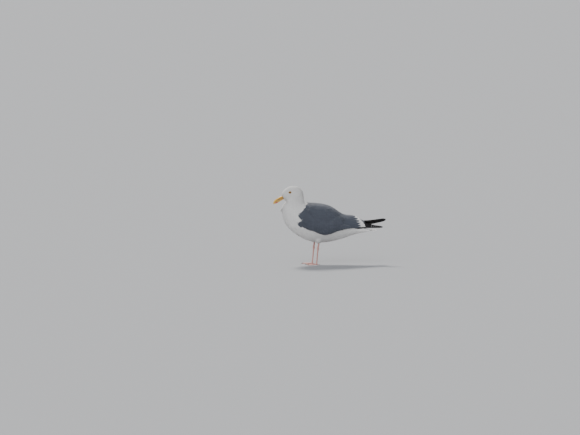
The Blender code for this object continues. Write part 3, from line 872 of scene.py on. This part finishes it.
ROUND_FROM = .80        # a long feather's tip rounds off from this share of its length
long_vane = Template(vane(16, 6, rounded_tip(ROUND_FROM), ridge=.9), .5)
WING_KNOTS = 9
ROOF_PLACES = np.linspace(-.010, .153, 37)
ROOF_SHARES = np.linspace(0, 1, 41)
ROOF_BEYOND = 5         # rows and columns that run straight on behind and below the wings' solids


def wing_spot(place, up, side):
    """The point on one closed wing at a place along the bird, a way up from the wing's lower edge."""
    arc, run = slate_arc(place)
    at = run[-1] - up if side < 0 else up
    return at_run(at, run, arc)


def run_on(grid):
    """Adds rows that run straight on after a grid's last one."""
    step = (grid[-1] - grid[-4]) / 3
    return np.vstack([grid] + [grid[-1:] + step * k for k in range(1, ROOF_BEYOND + 1)])


def roof_sheet():
    """A smooth sheet over the closed wings: places along the bird by shares of the way round it."""
    rows = []
    for place in ROOF_PLACES:
        arc, run = slate_arc(place)
        rows.append(at_run(ROOF_SHARES * run[-1], run, arc))
    grid = np.array(rows)
    for _ in range(5):
        ahead, behind = np.vstack([grid[:1], grid[:-1]]), np.vstack([grid[1:], grid[-1:]])
        grid = .5 * grid + .25 * (ahead + behind)
        grid[:, 1:-1] = .5 * grid[:, 1:-1] + .25 * (grid[:, 2:] + grid[:, :-2])
    across = run_on(run_on(run_on(grid).swapaxes(0, 1))[::-1])[::-1]
    return across.swapaxes(0, 1)


roof_grid = roof_sheet()
roof_mesh = bpy.data.meshes.new("roof")
rows, columns = roof_grid.shape[:2]
corners = np.arange(rows * columns).reshape(rows, columns)
squares = np.stack([corners[:-1, :-1], corners[:-1, 1:], corners[1:, 1:], corners[1:, :-1]], axis=2)
roof_mesh.from_pydata(roof_grid.reshape(-1, 3).tolist(), [], squares.reshape(-1, 4).tolist())
roof_mesh.update()
roof = Surface(roof_mesh)


def roof_spot(place, share, side):
    """The point on one wing's side of the sheet, share 0 at its lower edge and 1 on the ridge."""
    along = roof_grid[:, :, 0].mean(axis=1)
    column = ROOF_BEYOND + (len(ROOF_SHARES) - 1) * (.5 * share if side > 0 else 1 - .5 * share)
    low = int(column)
    line = roof_grid[:, low] + (column - low) * (roof_grid[:, low + 1] - roof_grid[:, low])
    return at_run(place, along, line)


def wing_row(name, ends, half, root_heights, tip_heights, surface, white_tip=0):
    """Long feathers, each from its root to its tip over a surface; half width and heights by number."""
    paths, stands = [], []
    for root, tip in ends:
        path, stand = surface.nearest(root + (tip - root) * np.linspace(0, 1, WING_KNOTS)[:, None])
        paths.append(path)
        stands.append(stand)
    path, stand = np.array(paths), np.array(stands)
    count = len(path)
    length = np.linalg.norm(path[:, -1] - path[:, 0], axis=1)
    half, root_heights, tip_heights = (
        np.resize(values, count) for values in (half, root_heights, tip_heights))
    laid = lay(long_vane, path, stand, half, (root_heights, tip_heights), .0004, 0, surface)
    rng = np.random.default_rng(count)
    along, across = long_vane.co[:, 0], np.clip(np.abs(long_vane.co[:, 1]), 0, 1)
    rounding = .5 * (1 - ROUND_FROM) * (1 - np.sqrt(1 - across ** 2))
    from_tip = (1 - along - rounding)[None] * length[:, None]
    band = np.resize(white_tip, count)[:, None]
    white = smooth_step(-from_tip, -band * 1.12, -band * .88)[..., None] * (band > 0)[..., None]
    colours = (np.array(SLATE) * (1 - white) + np.array(WHITE) * white) * rng.normal(1, .04, (count, 1, 1))
    colours = colours * np.ones((count, len(long_vane.co), 1))
    feathers(name, long_vane, laid, colours, path[:, 0], slate_coat, half, length, .3)


GREATER_COUNT = 15
greater = [(wing_spot(-.124 + .0118 * k, .030, side), wing_spot(-.080 + .0122 * k, .004 + .0003 * k, side))
           for side in SIDES.values() for k in range(GREATER_COUNT)]
wing_row("coverts_greater", greater, .0082, -.0010, .0012, skin)
SECONDARY_COUNT = 9
secondaries = [(roof_spot(.000 + .0095 * k, .26, side), roof_spot(.064 + .0095 * k, .09 + .008 * k, side))
               for side in SIDES.values() for k in range(SECONDARY_COUNT)]
wing_row("secondaries", secondaries, .0085, .0001, .0004, roof)
# Two plain feathers of each wing fill the ridge under the tertials.
ridge = [(roof_spot(.055, share, side), roof_spot(.1585 - .002 * (side > 0), share, side))
         for side in SIDES.values() for share in (.72, .93)]
wing_row("tertials_inner", ridge, .0125, (.0000, .0003), (.0002, .0005), roof)
# Tips of the tertials from the lowest and longest to the innermost: place, share of the way up, and
# length of the white crescent.
TERTIAL_TIPS = (
    (.1610, .20, .020), (.1580, .37, .019), (.1520, .52, .017),
    (.1440, .66, .014), (.1350, .78, .011), (.1240, .88, .008))
TERTIAL_LENGTH = .112
order = np.arange(len(TERTIAL_TIPS))
tertials = [(roof_spot(tip - TERTIAL_LENGTH + .003 * k, .12 + .80 * share, side),
             roof_spot(tip - .003 * (side > 0), share, side))
            for side in SIDES.values() for k, (tip, share, _) in enumerate(TERTIAL_TIPS)]
wing_row("tertials", tertials, .0116 + .0001 * order, .0004 + .0001 * order, .0008 + .00035 * order, roof,
         [crescent for _, _, crescent in TERTIAL_TIPS])


# ---------------------------------------------------------------- primaries
# The folded hand of each wing ends in a blade of black primaries, nested one over another, each a
# step shorter than the one below it. The right blade crosses above the left.

# Each blade's line from inside the wing to its tip: x, y, z, how far its back leans to the right from
# upright in degrees, and half width.
BLADE_LINES = {
    "l": ((.086, -.0375, .1680, -74, .0050), (.104, -.0320, .1680, -70, .0088),
          (.125, -.0240, .1695, -64, .0115), (.158, -.0110, .1740, -58, .0125),
          (.179, -.0050, .1710, -56, .0107), (.201, .0015, .1675, -52, .0078),
          (.224, .0065, .1660, -48, .0066), (.238, .0090, .1650, -46, .0060),
          (.2455, .0100, .1644, -46, .0055)),
    "r": ((.086, .0375, .1690, 74, .0050), (.104, .0320, .1720, 70, .0088),
          (.125, .0240, .1770, 64, .0118), (.158, .0110, .1835, 60, .0130),
          (.179, .0055, .1855, 58, .0118), (.204, -.0010, .1905, 56, .0110),
          (.229, -.0060, .1955, 54, .0104), (.247, -.0090, .1990, 52, .0096),
          (.2555, -.0100, .2005, 52, .0088)),
}
BLADE_FEATHERS, BLADE_STEP = 7, .055
BLADE_SINK, BLADE_LAYER = -.0012, .0004     # height of the longest feather, and of each next one over it
BLACK = (0.011, 0.0105, 0.012)
APICAL = .0011          # length of the white spot at each tip
blade_vane = Template(vane(18, 6, rounded_tip(.88, 2.4), ridge=.8), .5)
black_coat = "black_plumage", plumage("black_feathers", .0, .55, .00016, roughness=.55)
black_coat[1].node_tree.nodes["Principled BSDF"].inputs["Specular IOR Level"].default_value = .3


def primaries(side):
    line = np.array(BLADE_LINES[side])
    run = run_of(line[:, :3])
    order = np.arange(BLADE_FEATHERS)
    length = run[-1] * (1 - BLADE_STEP * order)
    paths, stands, halves = [], [], []
    for k in order:
        marks = np.linspace(0, length[k], 12)
        path = at_run(marks, run, line)
        lean = np.radians(np.interp(marks, run, line[:, 3]))[:, None]
        way = unit(np.gradient(path, axis=0))
        level = unit(np.cross(np.array([0, 0, 1.0]), way))
        stand = np.cross(way, level) * np.cos(lean) + level * np.sin(lean)
        paths.append(path + stand * (BLADE_SINK + BLADE_LAYER * k))
        stands.append(stand)
        halves.append(np.interp(marks, run, line[:, 4]))
    half = np.array(halves)
    laid = lay(blade_vane, np.array(paths), np.array(stands), half, (0, .0002), .0003)
    from_tip = (1 - blade_vane.co[None, :, 0]) * length[:, None]
    white = smooth_step(-from_tip, -1.3 * APICAL, -.7 * APICAL)[..., None]
    colours = np.array(BLACK) * (1 - white) + np.array(WHITE) * white
    feathers(f"primary_feathers_{side}", blade_vane, laid, colours, np.array(paths)[:, 0], black_coat,
             half.max(axis=1), length, 0, (f"primaries_{side}",))


for side in SIDES:
    primaries(side)


# ---------------------------------------------------------------- tail
# Twelve white tail feathers spread in a shallow arched fan. Long white coverts run from the rump
# over and under their bases.

TAIL_COUNT = 12
tail_low, tail_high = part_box("tail")
TAIL_START = tail_low.x - .022
paths, stands = [], []
for k in range(TAIL_COUNT):
    out = 2 * k / (TAIL_COUNT - 1) - 1
    marks = np.linspace(0, 1, WING_KNOTS)
    aside = (.36 + .64 * marks) * out * (tail_high.y - .006)
    xs = TAIL_START + marks * (tail_high.x - .004 * out * out - TAIL_START)
    layer = -.0004 * abs(k - (TAIL_COUNT - 1) / 2)
    zs = tail_low.z + .0082 - .004 * (aside / tail_high.y) ** 2 + layer + .003 * (1 - marks)
    paths.append(np.stack([xs, aside, zs], axis=1))
    stands.append(np.tile(unit(np.array([0, .25 * out, 1.0])), (WING_KNOTS, 1)))
half = np.full(TAIL_COUNT, .0078)
laid = lay(long_vane, np.array(paths), np.array(stands), half, (0, .0003), .0004)
colours = np.array(WHITE) * np.ones((TAIL_COUNT, len(long_vane.co), 1))
feathers("tail_feathers", long_vane, laid, colours, np.array(paths)[:, 0], white_coat,
         half, np.full(TAIL_COUNT, .07), .2, ("tail",))

tail_hull_mesh = rounded("tail_hull", ("rump", "tail"), .0016, 10, -.0004)
tail_hull = Surface(tail_hull_mesh)
# Place of the roots and reach of the feathers in each ring of coverts.
COVERT_RINGS = ((.118, .030), (.128, .032), (.138, .033), (.147, .034), (.156, .034))
COVERTS_ROUND = 22
roots, reaches = [], []
for ring, (place, reach) in enumerate(COVERT_RINGS):
    for k in range(COVERTS_ROUND):
        angle = 2 * math.pi * (k + .5 * (ring % 2)) / COVERTS_ROUND
        away = Vector((0, math.cos(angle), math.sin(angle)))
        hit = tail_hull.tree.ray_cast(Vector((place, 0, tail_low.z + .009)) + away * .1, -away, .1)
        if hit[0] is not None:
            roots.append(hit[0])
            reaches.append(reach)
roots, reaches = np.array(roots), np.array(reaches)
rng = np.random.default_rng(31)
count = len(roots)
reaches = reaches * rng.normal(1, .06, count)
path, stand = walk(tail_hull, roots, reaches, 6, rng.normal(0, math.radians(3), count))
half = rng.normal(.0056, .0004, count)
laid = lay(covert_vane, path, stand, half, (-.0006, .0004), .0002, 0, tail_hull)
colours = np.array(WHITE) * rng.normal(1, .02, (count, 1, 1)) * np.ones((1, len(covert_vane.co), 1))
feathers("tail_coverts", covert_vane, laid, colours, roots, white_coat, half, reaches, .5)


# ---------------------------------------------------------------- bill
# Two halves of smooth yellow horn, hooked at the tip, with a slit nostril on each side. A red spot
# marks the lower half near its tip. Painted shade darkens the horn along the closed mouth's line and fills
# the nostrils.

BILL_BASE = Vector((-.2112, 0, .3036))
BILL_WAY, BILL_UP = Vector((-.883, 0, -.469)), Vector((-.469, 0, .883))
HORN_GRAIN, HORN_PASSES = .00055, 7
MOUTH_BELOW = .0016     # how far the closed mouth's line lies under the middle line
# The places of nostril and red spot along the bill and above its middle line, and their half sizes.
NOSTRIL_AT, NOSTRIL_HALF, NOSTRIL_DEPTH = (.0215, .0026), (.0046, .0011), .0012
SPOT_AT, SPOT_HALF = (.0375, -.0074), (.0068, .0040)


def on_bill(points):
    """Each point's way along the bill from its base, and above the middle line."""
    off = points - np.array(BILL_BASE)
    return off @ np.array(BILL_WAY), off @ np.array(BILL_UP)


def horn_finish():
    look, tree, shader = finish("yellow_horn", roughness=.32, coat_weight=.12, coat_roughness=.15)
    place = tree.place()
    off = tree.node("VectorMath", operation="SUBTRACT")
    tree.put(off.inputs[0], place)
    off.inputs[1].default_value = BILL_BASE
    ways = []
    for axis in (BILL_WAY, BILL_UP):
        dot = tree.node("VectorMath", operation="DOT_PRODUCT")
        tree.put(dot.inputs[0], off.outputs[0])
        dot.inputs[1].default_value = axis
        ways.append(dot.outputs["Value"])
    along, above = ways
    grain = tree.noise(place, 900, 4)
    base = tree.mix(tree.step(along, .0, .050), (.60, .30, .028, 1), (.72, .42, .042, 1))
    cloud = tree.step(tree.noise(place, 160, 3), .35, .75)
    base = tree.mix(tree.times(cloud, .25), base, (.76, .48, .08, 1))
    # Painted shade: both halves darken, with a grain, along the closed mouth's line short of the tip.
    from_mouth = tree.math("ABSOLUTE", tree.plus(above, MOUTH_BELOW))
    edge = tree.rest(tree.step(from_mouth, .0006, .0042))
    mouth_shade = tree.times(edge, tree.rest(tree.step(along, .036, .047)))
    mouth_shade = tree.times(mouth_shade, tree.plus(.25, tree.times(grain, .35)))
    base = tree.mix(mouth_shade, base, (.150, .085, .022, 1))
    aside = tree.math("DIVIDE", tree.math("SUBTRACT", along, SPOT_AT[0]), SPOT_HALF[0])
    over = tree.math("DIVIDE", tree.math("SUBTRACT", above, SPOT_AT[1]), SPOT_HALF[1])
    round_spot = tree.plus(tree.math("POWER", aside, 2.0), tree.math("POWER", over, 2.0))
    ragged = tree.plus(round_spot, tree.times(tree.noise(place, 420, 3), .6))
    spot = tree.rest(tree.step(ragged, .85, 1.5))
    base = tree.mix(spot, base, (.50, .020, .008, 1))
    # Painted shade: the nostril's hollow is painted near black.
    base = tree.mix(tree.attribute("nostril"), base, (.05, .03, .015, 1))
    tree.put(shader.inputs["Base Color"], base)
    tree.put(shader.inputs["Roughness"], tree.plus(.24, tree.times(grain, .16)))
    tree.put(shader.inputs["Normal"], tree.bump(grain, .25, .0004))
    return look


def horn(node):
    mesh = remeshed(solid(node), HORN_GRAIN)
    relax(mesh, HORN_PASSES)
    return mesh


upper = horn("bill_upper")
co, out = points_of(upper), normals_of(upper)
along, above = on_bill(co)
near = ((along - NOSTRIL_AT[0]) / NOSTRIL_HALF[0]) ** 2 + ((above - NOSTRIL_AT[1]) / NOSTRIL_HALF[1]) ** 2
hollow = (1 - smooth_step(near, .5, 1.5)) * (np.abs(out[:, 1]) > .4)
groove = np.exp(-((above - .0010) / .0016) ** 2) * smooth_step(-along, -.040, -.018) * .00022
move_points(upper, co - out * (NOSTRIL_DEPTH * hollow + groove)[:, None])
store(upper, "nostril", hollow)
lower = horn("bill_lower")
store(lower, "nostril", np.zeros(len(lower.vertices)))
horn_look = horn_finish()
show("bill_upper_horn", upper, "bill", horn_look, "bill_upper")
show("bill_lower_horn", lower, "bill", horn_look, "bill_lower")

# From the corner of the mouth a low fold of bare skin runs back under the face, on each side.
GAPE_FROM, GAPE_TO = (-.2150, .0048, .3000), (-.2040, .0120, .3035)
GAPE_HALF, GAPE_RISE, GAPE_STEPS, GAPE_ROUND = .0010, .0014, 14, 10
for side, sign in SIDES.items():
    spots, stands = skin.nearest(np.linspace(GAPE_FROM, GAPE_TO, GAPE_STEPS) * (1, sign, 1))
    across = unit(np.cross(stands, np.gradient(spots, axis=0)))
    fold = bmesh.new()
    bmesh.ops.create_uvsphere(fold, u_segments=GAPE_ROUND, v_segments=GAPE_STEPS - 1, radius=1)
    for vert in fold.verts:
        step = round(math.acos(max(-1, min(1, -vert.co.z))) / math.pi * (GAPE_STEPS - 1))
        off = across[step] * GAPE_HALF * vert.co.x + stands[step] * GAPE_RISE * vert.co.y
        vert.co = spots[step] + off
    outward(fold)
    show(f"gape_{side}", mesh_of(fold, "gape", smooth=True), "bill", horn_look)


# ---------------------------------------------------------------- eyes
# A dusky yellow eye with a round black pupil under a clear cornea. Naked lids close round it in a
# swollen yellow-orange ring.

PUPIL, BALL = .0022, .0070
# The lid's section as (way from the eye's axis, height over the eye's middle).
LID_SECTION = (
    (.0041, .0047), (.0043, .0059), (.0046, .0062), (.0050, .0060), (.0055, .0055), (.0061, .0043))
LID_EDGE = .0042        # inside this way the lid dips under the ball's surface
LID_LONG, LID_HIGH, BROW = 1.14, 0.88, 0.80   # the upper lid is flatter
LID_STEPS, LID_WRINKLES, WRINKLE_SHARE, WRINKLED_FROM = 64, 26, .012, .0045
LIP_UNDER, LIP_OVER = .0009, .0003      # the lid's inner edge dips under the ball, the rest clears it


def eye_finish():
    look, tree, shader = finish("wet_eye", roughness=.12, coat_weight=1.0, coat_roughness=.02)
    angle = tree.attribute("from_axis")
    flecks = tree.noise(tree.place(), 2600, 3)
    iris = tree.mix(tree.step(flecks, .35, .7), (.12, .070, .018, 1), (.30, .20, .055, 1))
    iris = tree.mix(tree.step(angle, .50, .64), iris, (.03, .018, .008, 1))
    pupil_edge = math.asin(PUPIL / BALL)
    colour = tree.mix(tree.step(angle, pupil_edge - .02, pupil_edge + .02), (.003, .003, .003, 1), iris)
    colour = tree.mix(tree.step(angle, .74, .82), colour, (.50, .23, .035, 1))
    tree.put(shader.inputs["Base Color"], colour)
    shader.inputs["Specular IOR Level"].default_value = .1
    return look


def lid_finish():
    look, tree, shader = finish("lid_skin", roughness=.45)
    grain = tree.noise(tree.place(), 1800, 3)
    colour = tree.mix(grain, (.42, .17, .020, 1), (.60, .30, .045, 1))
    # Painted shade: the lid's inner edge, where it meets the eyeball, is painted near black.
    tree.put(shader.inputs["Base Color"], tree.mix(tree.attribute("lip"), colour, (.05, .025, .010, 1)))
    tree.put(shader.inputs["Normal"], tree.bump(grain, .5, .0003))
    return look


eye_look, lid_look = eye_finish(), lid_finish()
for side, sign in SIDES.items():
    low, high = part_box(f"eye_{side}")
    middle = 0.5 * (low + high)
    look = Vector((-.16, sign, .04)).normalized()
    turn = look.to_track_quat("Z", "Y").to_matrix()
    ball = bmesh.new()
    bmesh.ops.create_uvsphere(ball, u_segments=48, v_segments=40, radius=0.5 * (high.x - low.x))
    bmesh.ops.transform(ball, verts=ball.verts, matrix=turn.to_4x4())
    bmesh.ops.translate(ball, verts=ball.verts, vec=middle)
    mesh = mesh_of(ball, "eyeball", smooth=True)
    cosine = (points_of(mesh) - np.array(middle)) @ np.array(look) / (0.5 * (high.x - low.x))
    store(mesh, "from_axis", np.arccos(np.clip(cosine, -1, 1)))
    show(f"eyeball_{side}", mesh, "eye", eye_look, f"eye_{side}")

    lid = bmesh.new()
    section = [lid.verts.new((way, 0, height)) for way, height in LID_SECTION]
    edges = [lid.edges.new(pair) for pair in zip(section, section[1:] + section[:1])]
    bmesh.ops.spin(lid, geom=section + edges, axis=(0, 0, 1), cent=(0, 0, 0), steps=LID_STEPS,
                   angle=2 * math.pi, use_merge=True)
    level = (Vector((1, 0, 0)) - look * look.x).normalized()
    over = look.cross(level)
    for vert in lid.verts:
        radius = math.hypot(vert.co.x, vert.co.y)
        angle = math.atan2(vert.co.y, vert.co.x)
        wrinkle = 1 + WRINKLE_SHARE * math.sin(LID_WRINKLES * angle) * (radius > WRINKLED_FROM)
        flat = Vector((vert.co.x * LID_LONG, vert.co.y * (BROW if vert.co.y > 0 else LID_HIGH))) * wrinkle
        ball_rise = math.sqrt(max(BALL ** 2 - flat.length_squared, 0))
        rise = ball_rise - LIP_UNDER if radius < LID_EDGE else max(vert.co.z, ball_rise + LIP_OVER)
        vert.co = middle + level * flat.x + over * flat.y + look * rise
    bmesh.ops.recalc_face_normals(lid, faces=lid.faces)
    mesh = mesh_of(lid, "lid", smooth=True)
    off = points_of(mesh) - np.array(middle)
    flat = off - (off @ np.array(look))[:, None] * np.array(look)
    # This marks the lid's inner edge for its painted shade.
    store(mesh, "lip", 1 - smooth_step(np.linalg.norm(flat, axis=1), .0037, .0045))
    show(f"eyelids_{side}", mesh, "flesh", lid_look)


# ---------------------------------------------------------------- legs and feet
# Bare pink skin with broad scutes down the front of the shank and over the toes, fine scales
# elsewhere, and thin webs between the three front toes. The claws are dark horn.

LEG_GRAIN, LEG_PASSES, LEG_SWELL, WEB_TOP = .00075, 24, .0003, .0045
CLAW_GRAIN, CLAW_PASSES = .0004, 4
SCUTE, SCUTE_RISE = .0030, .00022


def scaled_skin():
    look, tree, shader = finish("pink_scaled_skin", roughness=.48)
    place = tree.place()
    cells = tree.node("TexVoronoi", feature="DISTANCE_TO_EDGE")
    tree.put(cells.inputs["Vector"], place)
    cells.inputs["Scale"].default_value = 900
    gaps = tree.rest(tree.step(cells.outputs["Distance"], .02, .16))
    fine = tree.times(gaps, tree.rest(tree.attribute("scute")))
    turn = tree.times(tree.attribute("scute_turn"), math.pi)
    seam = tree.rest(tree.step(tree.math("ABSOLUTE", tree.math("SINE", turn)), .02, .38))
    fine = tree.plus(fine, tree.times(seam, tree.attribute("scute")))
    flush = tree.noise(place, 120, 3)
    colour = tree.mix(flush, (.56, .25, .22, 1), (.70, .39, .34, 1))
    colour = tree.mix(tree.times(tree.attribute("web"), .55), colour, (.62, .33, .27, 1))
    colour = tree.mix(tree.times(fine, .45), colour, (.38, .17, .15, 1))
    tree.put(shader.inputs["Base Color"], colour)
    tree.put(shader.inputs["Roughness"], tree.plus(.40, tree.times(flush, .18)))
    tree.put(shader.inputs["Normal"], tree.bump(tree.rest(fine), .6, .0003))
    return look


def claw_finish():
    look, tree, shader = finish("dark_claw", roughness=.30, coat_weight=.2)
    streaks = tree.noise(tree.place(), 1200, 3)
    tree.put(shader.inputs["Base Color"], tree.mix(streaks, (.018, .014, .012, 1), (.075, .055, .045, 1)))
    tree.put(shader.inputs["Normal"], tree.bump(streaks, .3, .0003))
    return look


leg_look, claw_look = scaled_skin(), claw_finish()
for side in SIDES:
    mesh = rounded("leg_skin", (f"leg_{side}", f"foot_{side}"), LEG_GRAIN, LEG_PASSES, LEG_SWELL)
    co, out = points_of(mesh), normals_of(mesh)
    shank = smooth_step(co[:, 2], .010, .016) * (1 - smooth_step(co[:, 2], .068, .074))
    front = smooth_step(-out[:, 0], .15, .6)
    ridges = np.abs(np.sin(math.pi * co[:, 2] / SCUTE))
    foot_low, foot_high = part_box(f"foot_{side}")
    heel = np.array([foot_high.x - .010, 0.5 * (foot_low.y + foot_high.y)])
    reach = np.linalg.norm(co[:, :2] - heel, axis=1)
    toes = smooth_step(out[:, 2], .2, .6) * smooth_step(co[:, 2], .0032, .0045) * (co[:, 2] < .012)
    toe_ridges = np.abs(np.sin(math.pi * reach / (.8 * SCUTE)))
    lift = SCUTE_RISE * (shank * front * (ridges - 1) + toes * (toe_ridges - 1))
    store(mesh, "scute_turn", np.where(toes > shank * front, reach / (.8 * SCUTE), co[:, 2] / SCUTE))
    co = co + out * (lift - LEG_SWELL)[:, None]
    co[:, 2] = np.maximum(co[:, 2], .00002)
    move_points(mesh, co)
    before_heel = smooth_step(foot_high.x - co[:, 0], .016, .030)
    web = (1 - smooth_step(co[:, 2], .0022, WEB_TOP)) * before_heel
    store(mesh, "web", web)
    store(mesh, "scute", np.maximum(shank * front, toes))
    show(f"leg_skin_{side}", mesh, "leg", leg_look, f"leg_{side}", f"foot_{side}")
    for toe in ("inner", "middle", "outer", "hind"):
        node = f"claw_{toe}_{side}"
        mesh = remeshed(solid(node), CLAW_GRAIN)
        relax(mesh, CLAW_PASSES)
        show(node + "_horn", mesh, "claw", claw_look, node)


# ---------------------------------------------------------------- studio
CAMERA_AZIMUTH, CAMERA_ELEVATION = math.radians(-8), math.radians(6)
CAMERA_DISTANCE, CAMERA_LENS, SENSOR = 14.9, 205, 36
SHIFT = (-.0681, .0802)     # the bird stands a little right of the middle and below it

away = Vector((
    math.sin(CAMERA_AZIMUTH) * math.cos(CAMERA_ELEVATION),
    -math.cos(CAMERA_AZIMUTH) * math.cos(CAMERA_ELEVATION),
    math.sin(CAMERA_ELEVATION)))
lens = bpy.data.cameras.new("camera")
lens.lens, lens.sensor_width, lens.clip_end = CAMERA_LENS, SENSOR, 100
lens.shift_x, lens.shift_y = SHIFT
camera = bpy.data.objects.new("camera", lens)
camera.location = CAMERA_DISTANCE * away
camera.rotation_euler = (-away).to_track_quat("-Z", "Y").to_euler()
bpy.context.scene.collection.objects.link(camera)
bpy.context.scene.camera = camera


def light(name, strength, place, softness, colour):
    """A soft distant light from one side, its softness as an angle in degrees."""
    lamp = bpy.data.lights.new(name, "SUN")
    lamp.energy, lamp.color, lamp.angle = strength, colour, math.radians(softness)
    holder = bpy.data.objects.new(name, lamp)
    holder.rotation_euler = (-Vector(place)).to_track_quat("-Z", "Y").to_euler()
    bpy.context.scene.collection.objects.link(holder)


light("key", 3.9, (-.6, 2.0, 2.6), 14, (1, .97, .92))
light("fill", 1.5, (-1.6, -2.2, 1.5), 60, (.95, .97, 1))

# The floor's share of light is set so that it meets the background without an edge.
BACKGROUND, FLOOR, FLOOR_RADIUS = (0.635, 0.645, 0.665, 1), (0.327, 0.334, 0.349, 1), 60
world = bpy.data.worlds.new("studio")
bpy.context.scene.world = world
world.use_nodes = True
world.node_tree.nodes["Background"].inputs["Color"].default_value = BACKGROUND

bm = bmesh.new()
bmesh.ops.create_circle(bm, cap_ends=True, segments=64, radius=FLOOR_RADIUS)
floor = bpy.data.objects.new("floor", mesh_of(bm, "floor"))
bpy.context.scene.collection.objects.link(floor)
floor.data.materials.append(finish("pale_floor", base_color=FLOOR, roughness=1)[0])
